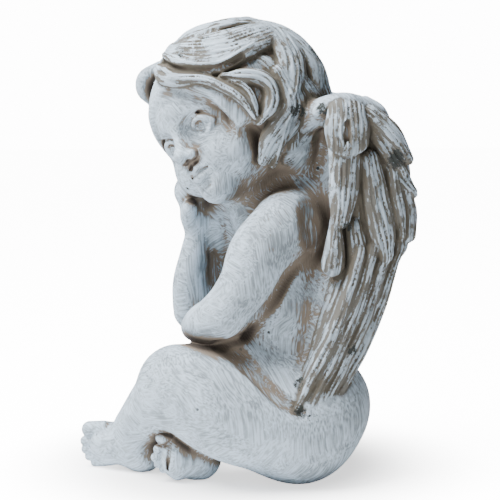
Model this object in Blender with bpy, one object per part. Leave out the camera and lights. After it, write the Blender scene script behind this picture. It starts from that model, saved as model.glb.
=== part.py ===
"""Seated cherub figurine: one solid casting of a winged child with crossed legs, its cheek on its hand.

The figure faces -Y, its left side is +X and it sits on the plane z = 0. Pose, proportions and carving are
shares of the figure's height: every length below is in units of HEIGHT / 210.
"""
import math

import bmesh
import bpy
import numpy as np
from mathutils import Matrix, Vector

# Driving dimensions
HEIGHT = 0.210
SEAT_CUT = 1.2
CLAY_GRAIN = 1.5
TRIANGLES = 9600
FIT_ROUNDS = 2
FAR = 1.0e3
TINY = 1.0e-9
CUT_SLACK = 1.0e-5
SHORTEST_EDGE = 1.0e-3

# Placing of the head: its centre, and its turn to the left, nod and lean to the right in degrees
HEAD_CENTRE = Vector((-2.0, -8.5, 167.0))
HEAD_TURN = 37.0
HEAD_NOD = 13.0
HEAD_LEAN = 27.0

# The rounded cap that the hair is laid on
HAIR_CENTRE = Vector((0.0, -4.7, 171.4))
HAIR_RADII = Vector((38.0, 41.2, 39.0))
HAIR_RIM = 0.98

# Shares of a lock's or feather's full size at its ends
LOCK_END = 0.45
FALL_END = 0.5
END_HEIGHT = 0.7
QUILL_END = 0.8
FEATHER_TIP = 0.6

# How softly locks join, and how far the ones that fall from the crown stand off the cap
LOCK_BLEND = 1.4
FALL_LIFT = 0.5

# The eyes, in the head's own axes: middle of the left one, and their radius
EYE = (12.6, 20.6, -3.0)
EYEBALL = 7.0

WHITEWASH = (0.62, 0.65, 0.67, 1.0)


def smooth_path(points, steps):
    """Points along a curve through the given points, any number of values each."""
    knots = np.array(points, dtype=float)
    count = len(knots)
    if count < 3:
        mix = np.linspace(0.0, 1.0, steps)[:, None]
        return knots[0] * (1.0 - mix) + knots[-1] * mix
    ends = np.vstack([2 * knots[0] - knots[1], knots, 2 * knots[-1] - knots[-2]])
    rows = []
    for place in np.linspace(0.0, count - 1.0, steps):
        leg = min(int(place), count - 2)
        t = place - leg
        a, b, c, d = ends[leg:leg + 4]
        rows.append(0.5 * (2 * b + (c - a) * t + (2 * a - 5 * b + 4 * c - d) * t ** 2
                           + (3 * b - a - 3 * c + d) * t ** 3))
    return np.array(rows)


def ellipsoid_distance(local, radii):
    """Distance to an ellipsoid's surface, close to exact near it."""
    scaled = np.linalg.norm(local / radii, axis=1)
    slope = np.linalg.norm(local / radii ** 2, axis=1)
    return scaled * (scaled - 1.0) / np.maximum(slope, TINY)


class Ball:
    """An ellipsoid of clay."""

    def __init__(self, centre, radii, turn=None):
        self.centre = np.array(centre, dtype=float)
        self.radii = np.array(radii, dtype=float)
        self.turn = np.array(turn if turn is not None else Matrix.Identity(3))
        reach = self.radii.max()
        self.low = self.centre - reach
        self.high = self.centre + reach

    def distance(self, points):
        return ellipsoid_distance((points - self.centre) @ self.turn, self.radii)


class Limb:
    """A round limb along stations of x, y, z and radius."""

    STEPS = 14

    def __init__(self, stations):
        self.rows = smooth_path(stations, self.STEPS)
        reach = self.rows[:, 3].max()
        self.low = self.rows[:, :3].min(axis=0) - reach
        self.high = self.rows[:, :3].max(axis=0) + reach

    def distance(self, points):
        best = np.full(len(points), FAR)
        for start, end in zip(self.rows[:-1], self.rows[1:]):
            along = end[:3] - start[:3]
            t = ((points - start[:3]) @ along) / max(along @ along, TINY)
            t = np.clip(t, 0.0, 1.0)
            gap = np.linalg.norm(points - start[:3] - t[:, None] * along, axis=1)
            best = np.minimum(best, gap - start[3] - t * (end[3] - start[3]))
        return best


class Ribbon:
    """A flat lock or feather: stations of x, y, z, half width and half thickness, and the way it faces."""

    STEPS = 14

    def __init__(self, stations, facing):
        self.rows = smooth_path(stations, self.STEPS)
        self.facing = facing
        reach = self.rows[:, 3:5].max()
        self.low = self.rows[:, :3].min(axis=0) - reach
        self.high = self.rows[:, :3].max(axis=0) + reach
        self.frames = [self.frame(k) for k in range(self.STEPS)]

    def frame(self, k):
        """Side, face and along axes at one station, as rows."""
        before = self.rows[max(k - 1, 0), :3]
        after = self.rows[min(k + 1, self.STEPS - 1), :3]
        along = Vector(after - before).normalized()
        face = Vector(self.facing(Vector(self.rows[k, :3])))
        side = along.cross(face).normalized()
        return np.array([side, side.cross(along), along])

    def distance(self, points):
        gap = np.full(len(points), FAR)
        best = np.full(len(points), FAR)
        for k in range(self.STEPS - 1):
            start, end = self.rows[k], self.rows[k + 1]
            along = end[:3] - start[:3]
            t = ((points - start[:3]) @ along) / max(along @ along, TINY)
            t = np.clip(t, 0.0, 1.0)
            offset = points - start[:3] - t[:, None] * along
            away = np.linalg.norm(offset, axis=1)
            nearer = np.flatnonzero(away < gap)
            gap[nearer] = away[nearer]
            mix = t[nearer, None]
            size = start[3:5] * (1.0 - mix) + end[3:5] * mix
            local = offset[nearer] @ self.frames[k].T
            radii = np.column_stack([size[:, 0], size[:, 1], size[:, 1] * 1.5])
            best[nearer] = ellipsoid_distance(local, radii)
        return best


class Clay:
    """Masses of clay pressed together, and hollows pressed into them, in the order given."""

    def __init__(self):
        self.steps = []

    def add(self, shape, blend=2.0):
        """Press a shape on, with a soft join of the given width."""
        self.steps.append((shape, blend, False))

    def cut(self, shape, blend=1.0):
        """Press the hollow of a shape in."""
        self.steps.append((shape, blend, True))

    def distance(self, points):
        """Signed distance of each point to the surface of the clay."""
        total = np.full(len(points), FAR)
        for shape, blend, hollow in self.steps:
            margin = blend + 3.0
            inside = np.all((points > shape.low - margin) & (points < shape.high + margin), axis=1)
            near = np.flatnonzero(inside)
            if len(near) == 0:
                continue
            new = shape.distance(points[near])
            old = total[near]
            if hollow:
                h = np.maximum(blend - np.abs(old + new), 0.0) / blend
                total[near] = np.maximum(old, -new) + h * h * blend * 0.25
            else:
                h = np.maximum(blend - np.abs(old - new), 0.0) / blend
                total[near] = np.minimum(old, new) - h * h * blend * 0.25
        return total

    def grid(self):
        """The lowest corner of a grid round the clay, and the distance at each of its corners."""
        solid = [shape for shape, _, hollow in self.steps if not hollow]
        low = np.min([shape.low for shape in solid], axis=0) - 2.0 * CLAY_GRAIN
        high = np.max([shape.high for shape in solid], axis=0) + 2.0 * CLAY_GRAIN
        counts = np.ceil((high - low) / CLAY_GRAIN).astype(int) + 1
        corners = low + CLAY_GRAIN * np.indices(counts).reshape(3, -1).T
        return low, self.distance(corners).reshape(counts)

    def lump(self):
        """One mesh object of the clay's surface, sealed on the same grain."""
        low, values = self.grid()
        corners, quads = surface_net(values)
        mesh = bpy.data.meshes.new("lump")
        mesh.from_pydata((low + CLAY_GRAIN * corners).tolist(), [], quads.tolist())
        lump = bpy.data.objects.new("lump", mesh)
        bpy.context.collection.objects.link(lump)
        fuse = lump.modifiers.new("fuse", "REMESH")
        fuse.mode = "VOXEL"
        fuse.voxel_size = CLAY_GRAIN
        return lump

    def fit(self, mesh):
        """Move each vertex along its normal until it lies on the surface."""
        count = len(mesh.vertices)
        points = np.empty(count * 3)
        normals = np.empty(count * 3)
        for _ in range(FIT_ROUNDS):
            mesh.vertices.foreach_get("co", points)
            mesh.vertex_normals.foreach_get("vector", normals)
            here = points.reshape(-1, 3)
            step = np.clip(self.distance(here), -CLAY_GRAIN, CLAY_GRAIN)
            moved = here - normals.reshape(-1, 3) * step[:, None]
            mesh.vertices.foreach_set("co", moved.ravel())
            mesh.update()


def surface_net(values):
    """Corners, in grid steps, and quads of the surface on which a grid of values changes sign."""
    strides = np.array([values.shape[1] * values.shape[2], values.shape[2], 1])
    quads = []
    places = []
    for axis in range(3):
        before = np.take(values, range(values.shape[axis] - 1), axis)
        after = np.take(values, range(1, values.shape[axis]), axis)
        start = np.argwhere((before < 0.0) != (after < 0.0))
        first, second = before[tuple(start.T)], after[tuple(start.T)]
        crossing = start.astype(float)
        crossing[:, axis] += first / (first - second)
        one = np.eye(3, dtype=int)[(axis + 1) % 3]
        two = np.eye(3, dtype=int)[(axis + 2) % 3]
        ring = np.stack([start - one - two, start - two, start, start - one], axis=1)
        ring[first > 0.0] = ring[first > 0.0, ::-1]
        quads.append(ring @ strides)
        places.append(crossing.repeat(4, axis=0))
    quads = np.vstack(quads)
    places = np.vstack(places)
    _, corner = np.unique(quads, return_inverse=True)
    corner = corner.reshape(-1)
    count = np.bincount(corner)
    corners = np.column_stack([np.bincount(corner, places[:, k]) / count for k in range(3)])
    return corners, corner.reshape(-1, 4)


def head_frame():
    """The head's own axes: to its left, out of its face and up, as columns."""
    turn = Matrix.Rotation(math.radians(HEAD_TURN), 3, "Z")
    nod = Matrix.Rotation(math.radians(HEAD_NOD), 3, "X")
    lean = Matrix.Rotation(math.radians(-HEAD_LEAN), 3, "Y")
    axes = turn @ nod @ lean
    return Matrix((axes.col[0], -axes.col[1], axes.col[2])).transposed()


HEAD_AXES = head_frame()


def on_head(left, front, up):
    """A place given in the head's own axes."""
    return HEAD_CENTRE + HEAD_AXES @ Vector((left, front, up))


def head_ball(place, radii):
    """An ellipsoid that lies along the head's axes."""
    return Ball(on_head(*place), radii, HEAD_AXES)


def head_limb(stations):
    """A round limb given in the head's own axes."""
    return Limb([(*on_head(*row[:3]), row[3]) for row in stations])


def hair_side(y, z, side, lift):
    """A place on the hair's cap, seen from the figure's side at the given y and z."""
    across = (y - HAIR_CENTRE.y) / HAIR_RADII.y
    above = (z - HAIR_CENTRE.z) / HAIR_RADII.z
    shrink = min(1.0, HAIR_RIM / max(math.hypot(across, above), TINY))
    across *= shrink
    above *= shrink
    out = Vector((side * math.sqrt(1.0 - across ** 2 - above ** 2), across, above))
    return over_cap(out, lift)


def over_cap(out, lift):
    """A place at a height over the hair's cap, in the given way out of it."""
    return HAIR_CENTRE + Vector([a * (b + lift) for a, b in zip(out, HAIR_RADII)])


def hair_facing(place):
    """The way out of the hair's cap at a place on it."""
    away = place - HAIR_CENTRE
    return Vector([a / b ** 2 for a, b in zip(away, HAIR_RADII)]).normalized()


def side_lock(clay, side, path, width, height, lift, shares=()):
    """A lock laid on the cap along a path of y and z, thinning to both ends unless shares are given."""
    stations = []
    for k, (y, z) in enumerate(path):
        end = k in (0, len(path) - 1)
        share = shares[k] if shares else LOCK_END if end else 1.0
        stations.append((*hair_side(y, z, side, lift), width * share, height * (END_HEIGHT if end else 1.0)))
    clay.add(Ribbon(stations, hair_facing), LOCK_BLEND)


def back_lock(clay, turn, falls, width, height):
    """A lock that falls from the crown, at a turn in degrees round the head, over falls in degrees."""
    stations = []
    for k, fall in enumerate(falls):
        sway = math.radians(turn + 9.0 * math.sin(k * 1.7 + turn * 0.05))
        drop = math.radians(fall)
        out = Vector((math.sin(sway) * math.sin(drop), math.cos(sway) * math.sin(drop), math.cos(drop)))
        end = k in (0, len(falls) - 1)
        stations.append((*over_cap(out, FALL_LIFT), width * (FALL_END if end else 1.0),
                         height * (END_HEIGHT if end else 1.0)))
    clay.add(Ribbon(stations, hair_facing), LOCK_BLEND)


def model_torso(clay):
    """Seat, belly, back, chest, shoulders and neck."""
    clay.add(Ball((0, 24, 33), (38, 25, 29)), 4)
    for side in (-1, 1):
        clay.add(Ball((side * 23, 27, 36), (27, 27.6, 26)), 6)
        clay.add(Ball((side * 23, 20, 22), (27, 24, 21.5)), 6)
    clay.add(Ball((0, 12, 52), (37, 29, 27)), 10)
    clay.add(Ball((0, 20, 80), (38, 26, 33)), 10)
    clay.add(Ball((0, 17, 104), (34, 23, 24)), 10)
    clay.add(Ball((0, 27, 126), (27, 15, 27)), 8)
    clay.add(Ball((-12, -10, 119), (9, 13, 17)), 6)
    clay.add(Ball((22, -4, 60), (17, 16, 12)), 6)
    clay.add(Ball((21, 12, 84), (18, 18, 28)), 6)
    clay.add(Limb([(-29, 18, 117, 13), (0, 18, 122, 15), (29, 18, 119, 13)]), 10)
    clay.add(Limb([(0, 16, 118, 20), (-1, 4, 136, 18), (-2, -4, 150, 18)]), 8)


def model_legs(clay):
    """The left leg over the right one with the crease above its thigh, and both feet."""
    clay.add(Limb([(-26, 20, 26, 24), (-42, -8, 23, 20), (-51, -30, 21, 17)]), 8)
    clay.add(Limb([(-51, -31, 20, 16), (-26, -34, 17, 14), (4, -30, 14, 10)]), 4)
    clay.add(Limb([(27, 22, 29, 26), (31, -6, 35, 24.5), (29, -24, 43, 22), (26, -34, 47.5, 17.5)]), 8)
    clay.add(Limb([(26, -35.5, 45, 16.5), (16, -42.5, 35, 14.5), (3, -52, 23, 10.8)]), 4)
    clay.cut(Limb([(36.5, -15.5, 68, 3.2), (39.5, -7.3, 61.5, 3.4), (45.3, 0.6, 53, 3.2),
                   (50.6, 9.3, 44.5, 2.6), (52.6, 19, 38.5, 1.6)]), 3.5)
    model_left_foot(clay)
    model_right_foot(clay)


# Toes, the big one first: how far forward they reach, height and radius
LEFT_TOES = ((-74.6, 19.9, 3.9), (-76.6, 14.3, 2.6), (-76.4, 10.4, 2.4), (-75.0, 6.9, 2.2),
             (-72.4, 3.9, 2.1))
RIGHT_TOES = ((-41.0, 22.0, 3.4), (-43.0, 16.7, 2.4), (-44.4, 12.9, 2.2), (-43.4, 9.8, 1.9),
              (-41.2, 7.2, 1.7))


def model_left_foot(clay):
    """The front foot, lying on its outer edge, its back to the left and its toes forward."""
    clay.add(Ball((2, -50, 10), (9.5, 10, 10)), 5)
    clay.add(Limb([(1, -52, 17, 10.5), (-3, -60, 13, 10), (-6, -66.5, 12.5, 8.5)]), 5)
    clay.add(Ball((-5, -66.5, 12.5), (6.5, 6.5, 10.5)), 3)
    for reach, height, radius in LEFT_TOES:
        clay.add(Limb([(-4, -68, height, radius), (-6, reach, height - 0.5, radius)]), 0.8)


def model_right_foot(clay):
    """The foot under the left knee, lying on its outer edge, its sole to the left."""
    clay.add(Ball((19, -24, 11), (10, 10, 10.5)), 4)
    clay.add(Limb([(18, -26, 12, 10), (21, -31, 12, 9.5), (22, -35, 12.5, 8.8)]), 4)
    clay.add(Ball((24, -34.5, 12.5), (7, 5.5, 10.8)), 3)
    for reach, height, radius in RIGHT_TOES:
        clay.add(Limb([(24, -36, height, radius), (25.5, reach, height, radius)]), 0.8)


def model_arms(clay):
    """The left arm across the knee with the groove under it, the right one up to the cheek."""
    clay.add(Limb([(31, 14, 119, 15), (35.5, 2.5, 107.4, 14), (37.5, -3.7, 94, 12.3),
                   (36, -13, 80.3, 10.8)]), 5)
    clay.add(Limb([(36, -13, 80.3, 10.8), (27, -21, 75, 9.5), (13, -25, 71, 7)]), 3)
    clay.cut(Limb([(36.5, 25, 107.3, 1.8), (38.7, 14, 97.6, 2.8), (40, 6, 85.5, 3.2), (39.7, -4.6, 73, 3.2),
                   (35, -15.4, 66.5, 2.4)]), 2.5)
    clay.cut(Ball((43, 29, 123), (9, 9, 15)), 5)
    model_left_hand(clay)
    clay.add(Limb([(-31, 18, 116, 14), (-34, 0, 98, 14), (-24, -18, 78, 13)]), 6)
    clay.add(Limb([(-19, -22.5, 75, 12), (-14, -26, 88, 8.6), (-11, -24.6, 102, 6.6),
                   (-11, -22.4, 114, 5.4)]), 4)
    clay.add(Ball((-22, -8, 102), (9, 17, 25)), 5)
    model_right_hand(clay)


def model_left_hand(clay):
    """The hand that lies on the knee, under the other elbow."""
    clay.add(Ball((7, -20, 69), (9, 8, 6.5)), 3)
    for k in range(4):
        root = (5 - k * 1.5, -24 + k * 2.4, 69)
        tip = (-9 - k * 1.5, -24 + k * 3.2, 64)
        clay.add(Limb([(*root, 3.3), (*tip, 2.7)]), 1.2)


def model_right_hand(clay):
    """The hand that holds the cheek, its fingers laid back along the jaw."""
    clay.add(Ball((-10, -24.4, 121), (7.5, 6.8, 9)), 4)
    clay.add(Ball((-9, -26.5, 132), (8, 7.5, 8)), 4)
    for k in range(4):
        root = (-11 - k * 4.0, -29.6 + k * 2.4, 127 + k)
        bend = (-16 - k * 4.2, -32.2 + k * 2.4, 135 + k)
        tip = (-20.5 - k * 4.2, -31.4 + k * 2.6, 142 + k)
        clay.add(Limb([(*root, 3.4), (*bend, 3.2), (*tip, 2.7)]), 1.4)
    clay.add(Limb([(-6, -27, 120, 4), (0, -27, 125, 3.6)]), 2)


def model_face(clay):
    """A calm child's face: skull, brow, cheeks and chin, with its features."""
    clay.add(head_ball((0, -2, 2), (32, 33, 31)), 1.0)
    clay.add(head_ball((0, 8, -12), (24.5, 21.5, 23)), 6)
    clay.add(head_ball((0, 14, 9), (25, 20, 18)), 6)
    for side in (-1, 1):
        clay.add(head_ball((side * 13.0, 18.0, -17.0), (13.0, 12.4, 12.4)), 5)
    clay.add(head_ball((0, 13, -21), (17, 15, 12)), 5)
    clay.add(head_ball((0, 20.5, -18), (10, 11, 9)), 5)
    clay.add(head_ball((0, 24.0, -29.0), (9.5, 8.5, 7.8)), 5)
    model_nose(clay)
    for side in (-1, 1):
        model_eye(clay, side)
    model_mouth(clay)


def model_nose(clay):
    """The nose's bridge, tip and wings."""
    clay.add(head_limb([(0, 30, 0, 3.4), (0, 32.0, -5, 3.4), (0, 34.2, -9.5, 3.6)]), 4)
    clay.add(head_ball((0, 35.4, -10.6), (4.0, 3.6, 3.5)), 2)
    for side in (-1, 1):
        clay.add(head_ball((side * 4.1, 32.6, -11.8), (2.7, 3.1, 2.4)), 1.4)


def model_eye(clay, side):
    """An eye's socket, ball and lids."""
    clay.cut(head_ball((side * 12.6, 31.6, -2.2), (8.2, 5.0, 5.0)), 4)
    clay.add(head_ball((side * EYE[0], *EYE[1:]), (EYEBALL, EYEBALL, EYEBALL)), 0.8)
    clay.add(eye_arc(side, ((-54, -14), (-28, 16), (4, 28), (36, 20), (60, -4)), 1.4), 0.9)
    clay.add(eye_arc(side, ((-54, -14), (-24, -30), (6, -36), (38, -26), (60, -4)), 1.1), 1.2)


def eye_arc(side, angles, thick):
    """A round cord laid over an eyeball, through angles outwards and up in degrees."""
    stations = []
    for outwards, up in angles:
        a, b = math.radians(outwards), math.radians(up)
        stations.append((side * (EYE[0] + EYEBALL * math.sin(a) * math.cos(b)),
                         EYE[1] + EYEBALL * math.cos(a) * math.cos(b), EYE[2] + EYEBALL * math.sin(b), thick))
    return head_limb(stations)


def model_mouth(clay):
    """Full closed lips and the line between them."""
    clay.add(head_limb([(7.0, 28.8, -20.2, 1.0), (3.2, 31.8, -18.3, 1.6), (0, 32.3, -18.7, 1.5),
                        (-3.2, 31.8, -18.3, 1.6), (-7.0, 28.8, -20.2, 1.0)]), 1.6)
    clay.add(head_ball((0, 30.6, -22.2), (4.9, 3.2, 2.4)), 1.6)
    clay.cut(head_limb([(7.4, 29.6, -20.6, 0.7), (0, 33.7, -20.3, 0.9), (-7.4, 29.6, -20.6, 0.7)]), 0.9)


def model_cap(clay):
    """The cap of hair, open at the face, with the hollow of the neck under it."""
    clay.add(Ball(HAIR_CENTRE, HAIR_RADII - Vector((1.0, 1.0, 1.0))), 6)
    clay.add(Ball((0, 20, 158), (29, 17, 23)), 5)
    clay.cut(head_ball((4, 41, -14), (29, 31, 36)), 3)
    clay.cut(Ball((35, -1, 148), (13, 9, 17)), 4)


# Locks on the figure's left: path of y and z, half width, half thickness, lift over the cap, and shares of
# the width
NEAR_LOCKS = (
    (((12, 207), (3, 203.5), (-6, 200.5), (-16, 198), (-26, 197), (-35, 198)), 9.5, 4.2, 0.4,
     (0.7, 0.9, 1.0, 1.0, 0.8, 0.4)),
    (((6.5, 210.3), (-4.6, 209.0), (-16, 207), (-26, 203.6), (-34, 199.7)), 4.8, 3.2, 0.5, ()),
    (((7, 201.6), (-1.5, 198), (-8, 194), (-15, 190.5), (-23.7, 189.8), (-32, 191.9), (-38.2, 195.1)),
     3.8, 3.8, 0.5, ()),
    (((-42, 189.2), (-38.3, 186.5), (-32.4, 184.6), (-25.2, 185), (-20.5, 184.2), (-14.5, 181.6),
      (-8.5, 178.3), (-4.2, 174.4), (-1.5, 170)),
     2.6, 3.4, 0.5, (1.3, 1.9, 1.5, 1.0, 0.9, 0.9, 0.9, 0.8, 0.4)),
    (((-11.8, 185.7), (-5.3, 185.7), (1.4, 185.2), (5.8, 182.6), (7.5, 177.8), (6.5, 172.1), (3.4, 167.8)),
     3.7, 3.9, 0.5, ()),
    (((-10.2, 183.1), (-5.4, 181.3), (-2.4, 177.9), (-0.6, 173.5), (0.7, 169.6)), 2.0, 2.6, 0.5, ()),
    (((7.4, 203.5), (12.8, 197.6), (17, 191.4), (18, 184.8), (16.8, 178.2), (14.4, 173.4)),
     2.8, 3.4, 0.5, ()),
    (((0.6, 196.2), (6.3, 192.7), (10.6, 187.4), (11.7, 180.4), (10.7, 173.4), (7.5, 167.3)),
     3.4, 2.4, -1.5, ()),
    (((10.2, 211.2), (19.5, 205.7), (26.5, 198.4), (29.1, 189.2), (29.2, 181.1)), 5.5, 3.6, 0.5, ()),
    (((17.3, 172.4), (14, 167.2), (11.8, 161), (10.2, 154.7), (9.3, 148.3)), 2.8, 4.2, 0.0, ()),
    (((19.3, 165.3), (18.6, 159), (17.6, 152.7), (16.7, 146.6)), 2.4, 2.8, -1.0, ()),
)

# Locks on the figure's right, given in the same way
FAR_LOCKS = (
    (((4, 208), (-10, 206), (-24, 200), (-36, 192)), 6.5, 3.4, 0.5, ()),
    (((0, 198), (-14, 196), (-26, 189), (-37, 180)), 6.0, 3.6, 0.5, ()),
    (((4, 186), (-10, 184), (-22, 177), (-31, 166)), 6.0, 3.6, 0.5, ()),
    (((12, 196), (20, 184), (18, 170), (10, 160)), 6.5, 3.8, 0.5, ()),
    (((4, 174), (-6, 170), (-14, 162), (-16, 152)), 5.5, 3.6, 0.5, ()),
    (((22, 176), (20, 162), (12, 151)), 5.5, 3.6, 0.5, ()),
)

# Curls that stand off the right temple, and the hair behind them
CURLS = (
    ((-12, -40, 189.5, 3.4), (-15, -46.4, 185, 4.2), (-18, -46.8, 179.5, 4.4), (-19, -43.6, 175.2, 3.4)),
    ((-19, -41, 174, 3.2), (-21, -42.6, 168, 3.0), (-22, -41.6, 162, 2.8), (-21, -38.5, 156.5, 2.0)),
    ((-18, -34, 184, 6.0), (-20, -38, 176, 5.5), (-22, -35, 166, 5.0)),
)

# Grooves combed between the locks on the figure's left: y, z and radius
HAIR_GROOVES = (
    ((-40, 191.5, 0.9), (-30, 187.6, 1.3), (-19, 187.3, 1.3), (-11.5, 190.2, 1.2), (-5.5, 193, 0.9)),
    ((3.5, 208.5, 0.8), (9.5, 205.6, 1.3), (13.5, 201, 1.3), (17.5, 196.5, 0.9)),
)


def model_locks(clay):
    """All locks and curls laid on the cap."""
    for side, locks in ((1, NEAR_LOCKS), (-1, FAR_LOCKS)):
        for path, width, height, lift, shares in locks:
            side_lock(clay, side, path, width, height, lift, shares)
    for curl in CURLS:
        clay.add(Limb(curl), 1.5)
    for groove in HAIR_GROOVES:
        clay.cut(Limb([(*hair_side(y, z, 1, 2.4), radius) for y, z, radius in groove]), 1.5)
    for turn in range(-56, 57, 22):
        back_lock(clay, turn, (8, 34, 62, 90), 7.5, 3.4)
    for turn in range(-66, 67, 22):
        back_lock(clay, turn, (66, 88, 108, 124), 7.0, 3.4)
    clay.cut(Ball((38, 25, 156), (10, 6.5, 9.5)), 2.5)


def wing_x(y, z):
    """How far out the wing's outer face stands at a height and depth."""
    top = max(z - 158.0, 0.0) / 24.0
    foot = max(64.0 - z, 0.0) / 30.0
    return 45.0 - 0.0045 * (y - 30.0) ** 2 - 12.0 * top ** 2 + 3.0 * foot


def wing_facing(side):
    """The way the wing's outer face looks."""
    def facing(place):
        return Vector((side, 0.012 * (place.y - 30.0), 0.02 * max(place.z - 160.0, 0.0)))
    return facing


def feather(clay, side, path, width, thick, lift, shares):
    """A feather on the wing along a path of y and z, with a round tip."""
    stations = []
    last = len(path) - 1
    for k, (y, z) in enumerate(path):
        share = shares[k] if shares else {0: QUILL_END, last: FEATHER_TIP}.get(k, 1.0)
        stations.append((side * (wing_x(y, z) + lift), y, z, width * share, thick))
    clay.add(Ribbon(stations, wing_facing(side)), 0.9)


# Feathers of a wing, from its tip up: path of y and z, half width, half thickness, lift off the wing's face,
# shares of the width
FEATHERS = (
    (((61.5, 104), (54.5, 83), (45, 62), (36, 45)), 4.6, 3.6, -3.0, ()),
    (((57, 107), (49, 82), (39, 60), (30, 42)), 4.2, 4.0, -1.0, ()),
    (((51, 108), (43, 82), (33, 59), (24, 41)), 4.0, 4.2, 0.4, ()),
    (((45, 106), (37, 80), (27, 58), (19, 42)), 3.8, 4.6, 1.0, ()),
    (((43.6, 119), (45.3, 104.5), (41, 89)), 5.2, 3.6, -0.6, ()),
    (((64.0, 117), (65.2, 111), (63.6, 106)), 4.2, 3.0, -2.0, ()),
    (((66.4, 137), (69, 126), (69.2, 116)), 4.4, 3.0, -0.9, (0.7, 1.0, 0.9)),
    (((59.4, 147), (65.1, 140.5), (69.4, 135.6)), 4.6, 3.2, 0.0, ()),
    (((60.5, 143), (63.4, 127), (64.7, 117.5)), 3.7, 3.2, 0.9, ()),
    (((34.8, 120), (34.6, 110.5), (34.0, 104)), 5.4, 4.2, 0.6, (0.5, 0.85, 1.0)),
    (((50.0, 149), (53.2, 132), (56.3, 117), (57.6, 108.5)), 6.4, 3.6, 1.9, (0.7, 1.0, 1.0, 0.6)),
    (((39.4, 151), (38.4, 137), (37.0, 124.5)), 6.9, 3.8, 2.4, (0.95, 1.0, 0.66)),
    (((54.1, 161), (59.4, 152.4), (64.0, 145.5)), 4.6, 3.2, 1.8, (1.0, 1.0, 0.6)),
    (((50.5, 168.5), (59.6, 160.8), (66.6, 151)), 5.0, 3.2, 3.2, (1.0, 1.0, 0.6)),
    (((39.6, 170), (39.4, 163), (39.6, 157.5)), 10.3, 4.2, 5.2, (0.86, 1.0, 0.92)),
)

# The left wing's slab: stations of x, y, z, half width and half thickness
WING_SLAB = ((33, 44, 166, 13, 8), (36, 51, 148, 19, 8.5), (36, 52, 128, 18, 8.5), (37, 50, 108, 13, 7),
             (41, 38, 76, 9.5, 6), (44, 26, 48, 7, 5))

# The left wing's round forms: stations of x, y, z and radius
WING_ROOT = ((13, 36, 100, 12), (15, 39, 118, 12), (19, 43, 142, 12), (22, 43, 160, 11))
WING_WEB = ((30, 33, 52, 11), (30, 34, 72, 11), (27, 36, 94, 11))
WING_ROLL = ((24, 24, 166, 6), (31, 30, 170, 6.3), (34, 39, 172, 6.3), (35, 49, 168.5, 6.3), (34, 57, 163, 5))
WING_BROW = ((39, 28.5, 170.5, 3.4), (42, 34, 174, 4.3), (42.5, 41, 174.3, 4.5), (40, 48.5, 172.2, 4.0))
WING_RIDGE = ((37, 49, 174, 3.4), (37.5, 54.5, 170.5, 3.6), (36, 58, 166, 3.0))


def on_side(stations, side):
    """Stations given for the left wing, on the given side."""
    return [(side * row[0], *row[1:]) for row in stations]


def model_wing(clay, side):
    """A wing from the shoulder blade, its tip laid on the hip."""
    clay.add(Limb(on_side(WING_ROOT, side)), 6)
    clay.add(Ribbon(on_side(WING_SLAB, side), wing_facing(side)), 5)
    clay.add(Limb(on_side(WING_WEB, side)), 5)
    for path, width, thick, lift, shares in FEATHERS:
        feather(clay, side, path, width, thick, lift, shares)
    clay.add(Limb(on_side(WING_ROLL, side)), 2.5)
    clay.add(Limb(on_side(WING_BROW, side)), 1.5)
    clay.add(Limb(on_side(WING_RIDGE, side)), 1.5)


def shape_figure():
    """The whole figure in clay."""
    clay = Clay()
    model_cap(clay)
    model_face(clay)
    model_torso(clay)
    model_legs(clay)
    model_arms(clay)
    model_locks(clay)
    for side in (-1, 1):
        model_wing(clay, side)
    return clay


def evaluated_mesh(source):
    """A copy of an object's mesh with its modifiers applied."""
    graph = bpy.context.evaluated_depsgraph_get()
    return bpy.data.meshes.new_from_object(source.evaluated_get(graph))


def keep_largest_shell(bm):
    """Delete all but the shell with the most faces."""
    left = set(bm.verts)
    shells = []
    while left:
        stack = [left.pop()]
        shell = []
        while stack:
            vert = stack.pop()
            shell.append(vert)
            for edge in vert.link_edges:
                other = edge.other_vert(vert)
                if other in left:
                    left.remove(other)
                    stack.append(other)
        shells.append(shell)
    shells.sort(key=len)
    for shell in shells[:-1]:
        bmesh.ops.delete(bm, geom=shell, context="VERTS")


def cut_seat(mesh):
    """Cut the underside flat and close it."""
    bm = bmesh.new()
    bm.from_mesh(mesh)
    geom = bm.verts[:] + bm.edges[:] + bm.faces[:]
    bmesh.ops.bisect_plane(bm, geom=geom, dist=CUT_SLACK, plane_co=(0, 0, SEAT_CUT), plane_no=(0, 0, -1),
                           clear_outer=True)
    rim = [edge for edge in bm.edges if edge.is_boundary]
    bmesh.ops.holes_fill(bm, edges=rim, sides=0)
    bmesh.ops.dissolve_degenerate(bm, dist=SHORTEST_EDGE, edges=bm.edges[:])
    bmesh.ops.triangulate(bm, faces=bm.faces[:])
    bmesh.ops.recalc_face_normals(bm, faces=bm.faces[:])
    bm.to_mesh(mesh)
    bm.free()


def clear_islands(mesh):
    """Leave only the outer shell of a mesh."""
    bm = bmesh.new()
    bm.from_mesh(mesh)
    keep_largest_shell(bm)
    bm.to_mesh(mesh)
    bm.free()


def thinned(mesh):
    """The mesh with its triangles brought down to the number wanted, most of them kept where it curves."""
    carrier = bpy.data.objects.new("carrier", mesh)
    bpy.context.collection.objects.link(carrier)
    thin = carrier.modifiers.new("thin", "DECIMATE")
    thin.ratio = TRIANGLES / (2 * len(mesh.polygons))
    thin.use_collapse_triangulate = True
    final = evaluated_mesh(carrier)
    bpy.data.objects.remove(carrier)
    return final


def whitewash():
    """Cool white wash on the casting."""
    finish = bpy.data.materials.new("whitewash")
    finish.use_nodes = True
    shader = finish.node_tree.nodes["Principled BSDF"]
    shader.inputs["Base Color"].default_value = WHITEWASH
    shader.inputs["Roughness"].default_value = 0.75
    shader.inputs["Metallic"].default_value = 0.0
    return finish


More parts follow.
